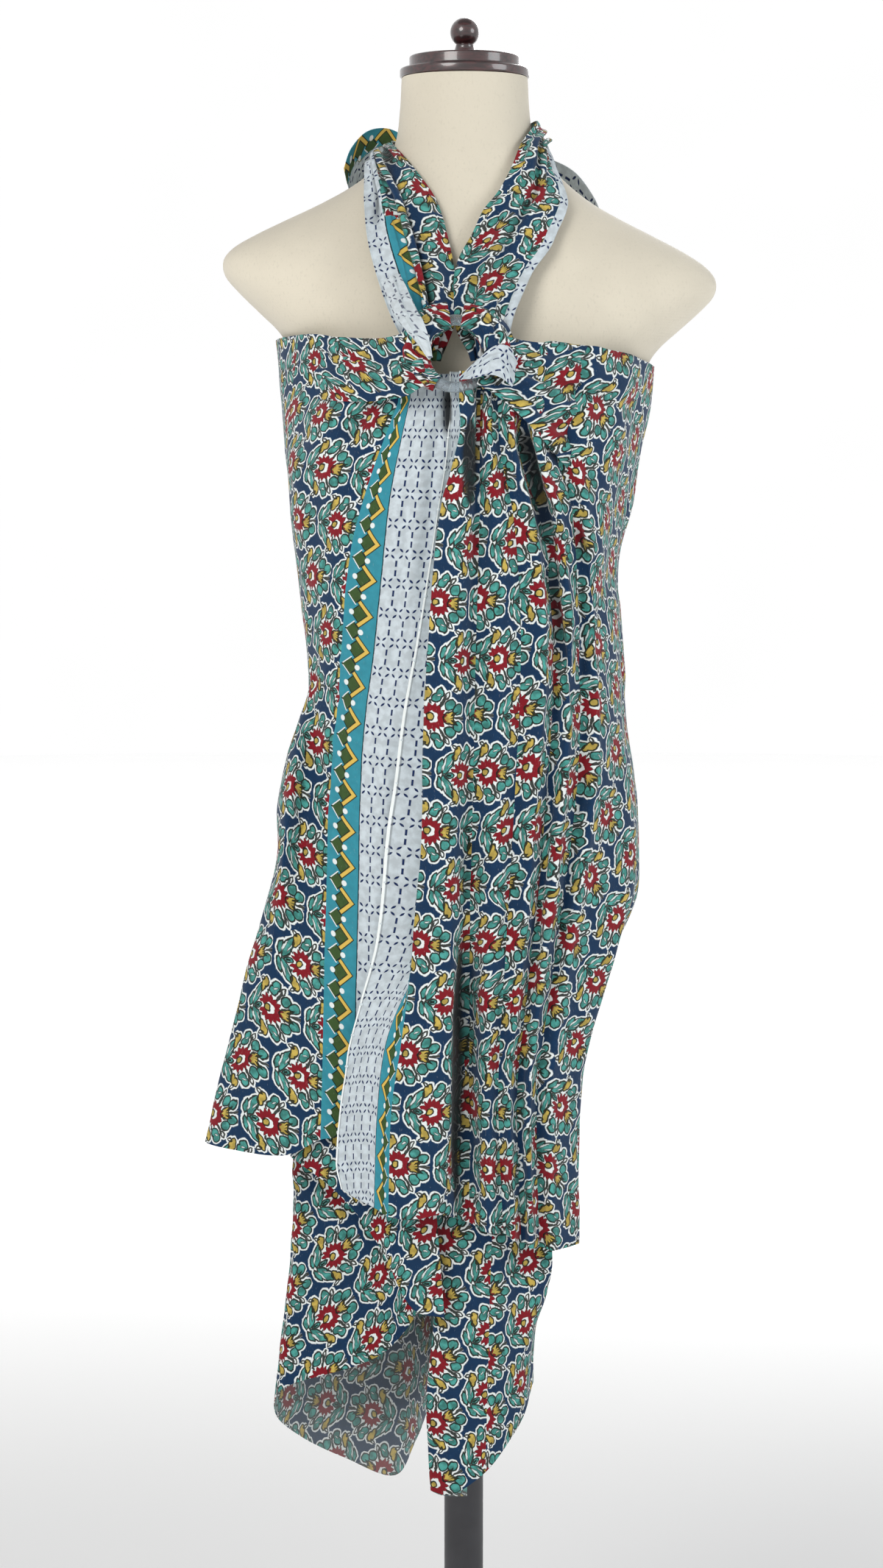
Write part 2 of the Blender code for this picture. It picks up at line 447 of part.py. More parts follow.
# A strap is a row for each station from the ring to the neck: its outer edge and its inner edge.
LEFT_STRAP = (
    ((-0.040, -0.1225, 1.2660), (-0.019, -0.1225, 1.2640)),
    ((-0.047, -0.1233, 1.2800), (-0.014, -0.1234, 1.2800)),
    ((-0.053, -0.1220, 1.2910), (-0.0095, -0.1215, 1.2980)),
    ((-0.060, -0.1155, 1.3075), (-0.0090, -0.1080, 1.3240)),
    ((-0.0685, -0.1010, 1.3330), (-0.0120, -0.0880, 1.3520)),
    ((-0.075, -0.0850, 1.3590), (-0.0170, -0.0780, 1.3750)),
    ((-0.078, -0.0650, 1.3860), (-0.0240, -0.0690, 1.3930)),
    ((-0.079, -0.0450, 1.4050), (-0.0360, -0.0610, 1.4100)),
    ((-0.0785, -0.0140, 1.4236), (-0.0497, -0.0408, 1.4280)),
    ((-0.0720, 0.0240, 1.4180), (-0.0587, -0.0038, 1.4410)),
    ((-0.0560, 0.0520, 1.4120), (-0.0500, 0.0320, 1.4440)),
    ((-0.0380, 0.0680, 1.4060), (-0.0330, 0.0520, 1.4400)),
    ((-0.0172, 0.0790, 1.4080), (-0.0160, 0.0700, 1.4300)),
)
RIGHT_STRAP = (
    ((0.026, -0.1225, 1.2680), (0.0040, -0.1225, 1.2640)),
    ((0.033, -0.1231, 1.2840), (-0.0005, -0.1231, 1.2800)),
    ((0.037, -0.1215, 1.2990), (-0.0035, -0.1215, 1.2970)),
    ((0.044, -0.1110, 1.3160), (-0.0040, -0.1130, 1.3150)),
    ((0.0525, -0.0980, 1.3340), (-0.0035, -0.1020, 1.3320)),
    ((0.0653, -0.0870, 1.3516), (-0.0005, -0.0920, 1.3490)),
    ((0.0715, -0.0780, 1.3650), (0.0063, -0.0830, 1.3650)),
    ((0.0787, -0.0650, 1.3815), (0.0140, -0.0750, 1.3820)),
    ((0.0800, -0.0540, 1.3940), (0.0250, -0.0680, 1.3960)),
    ((0.0730, -0.0370, 1.4150), (0.0355, -0.0585, 1.4150)),
    ((0.0670, -0.0110, 1.4340), (0.0440, -0.0430, 1.4360)),
    ((0.0640, 0.0180, 1.4330), (0.0568, -0.0100, 1.4560)),
    ((0.0530, 0.0460, 1.4220), (0.0486, 0.0330, 1.4560)),
    ((0.0350, 0.0680, 1.4100), (0.0350, 0.0560, 1.4460)),
    ((0.0178, 0.0790, 1.4080), (0.0165, 0.0700, 1.4300)),
)
STRAP_PUFF = 0.007           # how far a strap's middle stands off the line between its edges
STRAP_PLEATS = 3.5
STRAP_PLEAT_DEPTH = 0.0022
TAIL_PUFF = 0.004
TAIL_PLEATS = 1.5
TAIL_PLEAT_DEPTH = 0.004

# The ends of the cloth behind the neck: stations from the knot outwards, upper edge and lower edge.
LEFT_TAIL = (
    ((-0.0176, 0.0850, 1.4310), (-0.0176, 0.0890, 1.4090)),
    ((-0.0400, 0.0840, 1.4480), (-0.0350, 0.0980, 1.3930)),
    ((-0.0600, 0.0760, 1.4590), (-0.0500, 0.1080, 1.3720)),
    ((-0.0780, 0.0640, 1.4560), (-0.0640, 0.1160, 1.3500)),
    ((-0.0910, 0.0540, 1.4420), (-0.0760, 0.1200, 1.3320)),
    ((-0.0970, 0.0500, 1.4250), (-0.0830, 0.1210, 1.3180)),
)
RIGHT_TAIL = (
    ((0.0184, 0.0850, 1.4310), (0.0184, 0.0890, 1.4090)),
    ((0.0420, 0.0880, 1.4410), (0.0340, 0.0990, 1.3900)),
    ((0.0680, 0.0820, 1.4360), (0.0470, 0.1080, 1.3650)),
    ((0.0900, 0.0760, 1.4240), (0.0620, 0.1150, 1.3400)),
    ((0.1060, 0.0740, 1.4040), (0.0800, 0.1180, 1.3160)),
    ((0.1150, 0.0760, 1.3840), (0.0940, 0.1180, 1.2980)),
)


def band(stations, u, v, puff, pleats, depth):
    """A gathered band: u crosses it from the outer to the inner edge, v runs along its stations.

    Its middle stands off by puff, and its pleats, with the given depth, fade out at both edges.
    """
    rows = [(n / (len(stations) - 1.0), *a, *b) for n, (a, b) in enumerate(stations)]
    found = between(rows, v)
    outer, inner = Vector(found[:3]), Vector(found[3:])
    ahead, back = between(rows, min(v + 0.02, 1.0)), between(rows, max(v - 0.02, 0.0))
    along = Vector(ahead[:3]) + Vector(ahead[3:]) - Vector(back[:3]) - Vector(back[3:])
    off = along.cross(inner - outer).normalized()
    wave = depth * math.sin(2.0 * math.pi * pleats * u) * math.sin(math.pi * u) ** 0.5
    swell = puff * math.sin(math.pi * u) * (0.35 + 0.65 * math.sin(math.pi * v))
    return outer.lerp(inner, u) + off * (swell + wave)


def ring_axes():
    """The ring's own axes: to the right, up along its plane, and out of its plane to the front."""
    return (Vector((1.0, 0.0, 0.0)), Vector((0.0, math.sin(RING_LEAN), math.cos(RING_LEAN))),
            Vector((0.0, -math.cos(RING_LEAN), math.sin(RING_LEAN))))


def turn_round_ring(u, v, start, end, fat):
    """Cloth looped round the ring: v runs along the ring's arc, u round the ring's section."""
    right, up, front = ring_axes()
    angle = start + (end - start) * v
    out = right * math.cos(angle) + up * math.sin(angle)
    section = TURN_OPEN + (2.0 * math.pi - 2.0 * TURN_OPEN) * u - math.pi
    swell = (0.72 + 0.28 * math.sin(math.pi * v)) * (1.0 + 0.09 * math.cos(5.0 * section + 4.0 * v))
    outwards = (0.5 + 0.5 * math.cos(section)) ** 0.7
    radius = TURN_SEAT + (fat * swell - TURN_SEAT) * outwards
    middle = Vector(RING_CENTRE) + out * RING_RADIUS
    return middle + out * (radius * math.cos(section)) + front * (radius * math.sin(section))


def build():
    """Models the whole part in its own collection."""
    for thing in list(bpy.data.objects):
        bpy.data.objects.remove(thing)
    parts = bpy.data.collections.new("sarong_on_form")
    bpy.context.scene.collection.children.link(parts)

    linen = material("form cover", (0.70, 0.63, 0.51), 0.85)
    mahogany = material("polished mahogany", (0.030, 0.006, 0.007), 0.22)
    iron = material("dark stand", (0.020, 0.020, 0.022), 0.40)
    cloth = material("printed cotton", (0.16, 0.33, 0.36), 0.80)
    clear = material("clear acrylic", (0.85, 0.88, 0.88), 0.05)

    build_form(linen, mahogany, iron, parts)
    left_end, low_end = line("left turn back"), line("left low turn")
    hip_end, right_end = line("right hip"), line("right inner")
    stretch("left_front", FOLD_LINES, (0.0, left_end), 15, 3, cloth, parts)
    stretch("left_side_fold", FOLD_LINES, (left_end + 0.20, low_end), 16, 4, cloth, parts)
    stretch("back_wrap", FOLD_LINES, (low_end + 0.07, hip_end), 15, 2, cloth, parts)
    stretch("right_side_fold", FOLD_LINES, (hip_end + 0.05, right_end), 18, 3, cloth, parts)
    stretch("right_front", FOLD_LINES, (right_end + 0.07, len(FOLD_LINES) - 1.0), 18, 2, cloth, parts)
    stretch("middle_fold", MIDDLE_LINES, (0.0, 4.0), 6, 2, cloth, parts)
    stretch("lower_right_fold", LOW_FOLD_LINES, (0.0, 6.0), 7, 2.5, cloth, parts)
    build_halter(cloth, clear, parts)


def build_halter(cloth, clear, parts):
    """The ring, the cloth turned round it, the straps, and the knot with its two ends."""
    build_ring(clear, parts)
    for name, start, end, fat in TURNS:
        arc = (math.radians(start), math.radians(end))
        cloth_wall(name, 12, 7, lambda u, v: turn_round_ring(u, v, *arc, fat), cloth, parts)
    for name, stations, side in (("left_strap", LEFT_STRAP, -1.0), ("right_strap", RIGHT_STRAP, 1.0)):
        cloth_wall(name, 13, 17, lambda u, v: band(stations, u, v, STRAP_PUFF * side, STRAP_PLEATS,
                                                   STRAP_PLEAT_DEPTH), cloth, parts)
    for name, stations, side in (("left_tail", LEFT_TAIL, -1.0), ("right_tail", RIGHT_TAIL, 1.0)):
        cloth_wall(name, 8, 8, lambda u, v: band(stations, u, v, TAIL_PUFF * side, TAIL_PLEATS,
                                                 TAIL_PLEAT_DEPTH), cloth, parts)
    build_knot(cloth, parts)


def build_ring(clear, parts):
    """The clear ring: a circle of its section, spun round the ring's middle."""
    bm = bmesh.new()
    sides, around = RING_FACETS
    right, _, front = ring_axes()
    hoop = []
    for n in range(sides):
        turn = 2.0 * math.pi * n / sides
        off = right * (RING_RADIUS + RING_SECTION * math.cos(turn)) + front * (RING_SECTION * math.sin(turn))
        hoop.append(bm.verts.new(Vector(RING_CENTRE) + off))
    edges = [bm.edges.new((hoop[n], hoop[(n + 1) % sides])) for n in range(sides)]
    bmesh.ops.spin(bm, geom=hoop + edges, cent=RING_CENTRE, axis=front, angle=2.0 * math.pi,
                   steps=around, use_merge=True)
    bmesh.ops.remove_doubles(bm, verts=bm.verts, dist=1e-5)
    bmesh.ops.recalc_face_normals(bm, faces=bm.faces)
    finished("ring", bm, clear, parts)


def build_knot(cloth, parts):
    """The knot behind the neck: a rounded lump with three soft wraps twisting over it."""
    bm = bmesh.new()
    bmesh.ops.create_uvsphere(bm, u_segments=16, v_segments=10, radius=1.0)
    for spot in bm.verts:
        wrap = 1.0 + 0.06 * math.cos(3.0 * math.atan2(spot.co.z, spot.co.x) + 4.0 * spot.co.y)
        off = Vector([size * reach for size, reach in zip(KNOT_SIZE, spot.co)])
        spot.co = Vector(KNOT_CENTRE) + off * wrap
    finished("nape_knot", bm, cloth, parts)


def build_form(linen, mahogany, iron, parts):
    """The limbless form with its cap and knob, and the pole and base that it stands on."""
    bm = bmesh.new()
    rings = []
    for z, *_ in FORM_SECTIONS:
        ring = [bm.verts.new(form_point(z, 2.0 * math.pi * n / FORM_SIDES)) for n in range(FORM_SIDES)]
        rings.append(ring)
    for low, high in zip(rings, rings[1:]):
        for n in range(FORM_SIDES):
            m = (n + 1) % FORM_SIDES
            bm.faces.new((low[n], low[m], high[m], high[n]))
    bm.faces.new(list(reversed(rings[0])))
    bm.faces.new(rings[-1])
    finished("form_torso", bm, linen, parts)

    cap = ((0.0, CAP_HEIGHT), (CAP_STEP_RADIUS - 0.002, CAP_HEIGHT), (CAP_STEP_RADIUS, CAP_HEIGHT - 0.002),
           (CAP_STEP_RADIUS, 0.008), (CAP_FLANGE_RADIUS - 0.0015, 0.0075), (CAP_FLANGE_RADIUS, 0.006),
           (CAP_FLANGE_RADIUS, 0.0015), (CAP_FLANGE_RADIUS - 0.0015, 0.0), (0.0, 0.0))
    turned("neck_cap", cap, 32, mahogany, parts, (0.0, 0.0, NECK_TOP + GAP))
    ball = [(0.0, KNOB_MIDDLE + KNOB_RADIUS)]
    for step in range(1, KNOB_STEPS + 1):
        turn = math.pi * (0.5 - 0.78 * step / KNOB_STEPS)
        ball.append((KNOB_RADIUS * math.cos(turn), KNOB_MIDDLE + KNOB_RADIUS * math.sin(turn)))
    ball += [(KNOB_NECK_RADIUS, 0.004), (KNOB_NECK_RADIUS + 0.003, 0.0), (0.0, 0.0)]
    turned("cap_knob", ball, 18, mahogany, parts, (0.0, 0.0, NECK_TOP + CAP_HEIGHT + 2.0 * GAP))

    pole_top = FORM_SECTIONS[0][0] - GAP
    pole = ((0.0, pole_top), (POLE_RADIUS, pole_top), (POLE_RADIUS, BASE_HEIGHT + GAP), (0.0, BASE_HEIGHT + GAP))
    turned("pole", pole, 24, iron, parts)
    base = ((0.0, BASE_HEIGHT), (BASE_RADIUS * 0.30, BASE_HEIGHT), (BASE_RADIUS - 0.010, BASE_HEIGHT - 0.006),
            (BASE_RADIUS, BASE_HEIGHT - 0.012), (BASE_RADIUS, 0.0), (0.0, 0.0))
    turned("base", base, 40, iron, parts)


build()
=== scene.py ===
"""A sarong tied as a halter, in block-printed cotton, on a limbless dress form: cloth, finishes and studio.

Run with Blender 4.5. Metres, +Z up, the front faces -Y. It is laid out as an add-on and run as a script:
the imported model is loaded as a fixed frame, and each operator dresses one piece or a group of like pieces.
"""
import math

import bmesh
import bpy
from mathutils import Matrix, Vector, noise


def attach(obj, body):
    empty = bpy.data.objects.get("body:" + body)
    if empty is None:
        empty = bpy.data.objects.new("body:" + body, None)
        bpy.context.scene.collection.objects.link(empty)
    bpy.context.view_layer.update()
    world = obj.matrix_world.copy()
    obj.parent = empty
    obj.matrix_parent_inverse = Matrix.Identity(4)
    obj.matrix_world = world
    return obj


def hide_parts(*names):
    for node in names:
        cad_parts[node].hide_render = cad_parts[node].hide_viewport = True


bl_info = {
    "name": "Halter Sarong",
    "version": (1, 0, 0),
    "blender": (4, 5, 0),
    "location": "View3D > Sidebar > Sarong",
    "description": "Dresses the halter sarong and its dress form",
    "category": "Object",
}

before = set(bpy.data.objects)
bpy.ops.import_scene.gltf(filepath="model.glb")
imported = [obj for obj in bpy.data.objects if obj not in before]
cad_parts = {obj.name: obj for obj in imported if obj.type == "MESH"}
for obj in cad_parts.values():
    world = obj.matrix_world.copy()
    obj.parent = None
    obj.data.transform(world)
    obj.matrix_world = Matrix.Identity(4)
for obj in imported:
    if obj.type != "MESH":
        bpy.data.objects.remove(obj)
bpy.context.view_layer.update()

# Driving sizes of the form and its stand
NECK_TOP = 1.4905
NECK_RADIUS = 0.050
CAP_FLANGE_RADIUS = 0.0515
CAP_STEP_RADIUS = 0.044
CAP_HEIGHT = 0.017
KNOB_RADIUS = 0.0115
KNOB_NECK_RADIUS = 0.008
KNOB_MIDDLE = 0.0185         # height of the ball's middle over the cap
POLE_RADIUS = 0.016
BASE_RADIUS = 0.17
BASE_HEIGHT = 0.020
GAP = 0.0003
SHOULDER_TILT = 0.041        # the right shoulder sits lower than the left one

# Driving sizes of the cloth
WALL = 0.0013                # thickness of the cloth walls
RING_CENTRE = (-0.0075, -0.1455, 1.2690)
RING_RADIUS = 0.026          # to the middle of the ring's section
RING_SECTION = 0.0042
RING_LEAN = math.radians(12.0)
TURN_SEAT = RING_SECTION + WALL / 2.0 + 2.0 * GAP    # cloth drawn tight on the inner side of the ring
TURN_OPEN = math.radians(8.0)                        # half the slit where a turn's long edges meet
KNOT_CENTRE = (0.0, 0.082, 1.420)
KNOT_SIZE = (0.0185, 0.0150, 0.0200)
# Sections of the form: height, half width, depth in front, depth behind, shift to the right
FORM_SECTIONS = (
    (0.8380, 0.120, 0.087, 0.092, 0.000),
    (0.8410, 0.128, 0.095, 0.100, 0.000),
    (0.8480, 0.134, 0.099, 0.104, 0.000),
    (0.8650, 0.1345, 0.100, 0.106, 0.000),
    (0.9000, 0.131, 0.100, 0.102, 0.000),
    (0.9500, 0.124, 0.098, 0.092, 0.000),
    (1.0000, 0.116, 0.095, 0.082, 0.000),
    (1.0500, 0.113, 0.096, 0.080, 0.000),
    (1.1000, 0.117, 0.102, 0.084, 0.000),
    (1.1500, 0.128, 0.112, 0.090, 0.000),
    (1.2000, 0.133, 0.118, 0.094, 0.001),
    (1.2500, 0.140, 0.116, 0.096, 0.002),
    (1.2720, 0.144, 0.111, 0.096, 0.003),
    (1.2850, 0.152, 0.106, 0.096, 0.004),
    (1.3000, 0.168, 0.100, 0.095, 0.004),
    (1.3160, 0.185, 0.094, 0.093, 0.004),
    (1.3280, 0.195, 0.089, 0.090, 0.004),
    (1.3400, 0.196, 0.084, 0.086, 0.004),
    (1.3500, 0.188, 0.080, 0.082, 0.004),
    (1.3600, 0.172, 0.076, 0.078, 0.004),
    (1.3720, 0.148, 0.071, 0.074, 0.003),
    (1.3850, 0.121, 0.066, 0.070, 0.002),
    (1.3970, 0.099, 0.062, 0.066, 0.001),
    (1.4100, 0.081, 0.058, 0.062, 0.000),
    (1.4240, 0.066, 0.055, 0.058, 0.000),
    (1.4390, 0.0555, 0.053, 0.054, 0.000),
    (1.4630, 0.0516, 0.0515, 0.0515, 0.000),
    (NECK_TOP, NECK_RADIUS, NECK_RADIUS, NECK_RADIUS, 0.000),
)
FORM_POWER = 2.15            # a little squarer than an ellipse

# Front of the draped cloth: height, reach to the left, reach to the right, depth at the middle
DRAPE_SECTIONS = (
    (1.285, 0.152, 0.154, 0.124),
    (1.250, 0.150, 0.153, 0.133),
    (1.200, 0.144, 0.144, 0.134),
    (1.150, 0.139, 0.137, 0.131),
    (1.100, 0.135, 0.128, 0.127),
    (1.050, 0.130, 0.129, 0.123),
    (1.000, 0.127, 0.131, 0.120),
    (0.950, 0.145, 0.138, 0.119),
    (0.900, 0.155, 0.144, 0.119),
    (0.860, 0.160, 0.142, 0.119),
    (0.780, 0.185, 0.128, 0.117),
    (0.650, 0.225, 0.120, 0.113),
    (0.560, 0.240, 0.120, 0.110),
)


def smooth_step(low, high, value):
    """0 below low, 1 above high, with a soft change between them."""
    t = min(1.0, max(0.0, (value - low) / (high - low)))
    return t * t * (3.0 - 2.0 * t)


def metres(table):
    """A table given in millimetres, as metres. Names in it stay."""
    if isinstance(table, tuple):
        return tuple(metres(row) for row in table)
    return table if isinstance(table, str) else table / 1000.0


def between(rows, key):
    """Reads a table whose first column rises or falls: the other columns at key, on a soft curve."""
    rows = sorted(rows)
    if key <= rows[0][0]:
        return rows[0][1:]
    if key >= rows[-1][0]:
        return rows[-1][1:]
    i = max(j for j in range(len(rows) - 1) if rows[j][0] <= key)
    a, b = rows[i], rows[i + 1]
    before, after = rows[max(i - 1, 0)], rows[min(i + 2, len(rows) - 1)]
    span = b[0] - a[0]
    t = (key - a[0]) / span
    found = []
    for column in range(1, len(a)):
        slope_a = (b[column] - before[column]) / (b[0] - before[0]) * span
        slope_b = (after[column] - a[column]) / (after[0] - a[0]) * span
        found.append((2*t**3 - 3*t**2 + 1) * a[column] + (t**3 - 2*t**2 + t) * slope_a
                     + (3*t**2 - 2*t**3) * b[column] + (t**3 - t**2) * slope_b)
    return tuple(found)


def form_tilt(x, z):
    """How far the form's surface is lowered at x for its uneven shoulders."""
    return SHOULDER_TILT * x * smooth_step(1.20, 1.27, z) * (1.0 - smooth_step(1.39, 1.43, z))


def form_point(z, angle, out=0.0):
    """A point on the form at height z, angle 0 at the right and turning towards the back."""
    half, front, back, shift = between(FORM_SECTIONS, z)
    c, s = math.cos(angle), math.sin(angle)
    depth = back if s > 0.0 else front
    x = math.copysign(abs(c) ** (2.0 / FORM_POWER), c) * (half + out)
    y = math.copysign(abs(s) ** (2.0 / FORM_POWER), s) * (depth + out)
    return Vector((x + shift, y, z - form_tilt(x + shift, z)))


def drape_front(x, z):
    """The front of the draped cloth at x and z, before any fold is added: its y."""
    left, right, depth = between(DRAPE_SECTIONS, z)
    reach = right if x > 0.0 else left
    side = min(abs(x) / reach, 0.985)
    return -depth * (1.0 - side ** 2.3) ** (1.0 / 2.3)


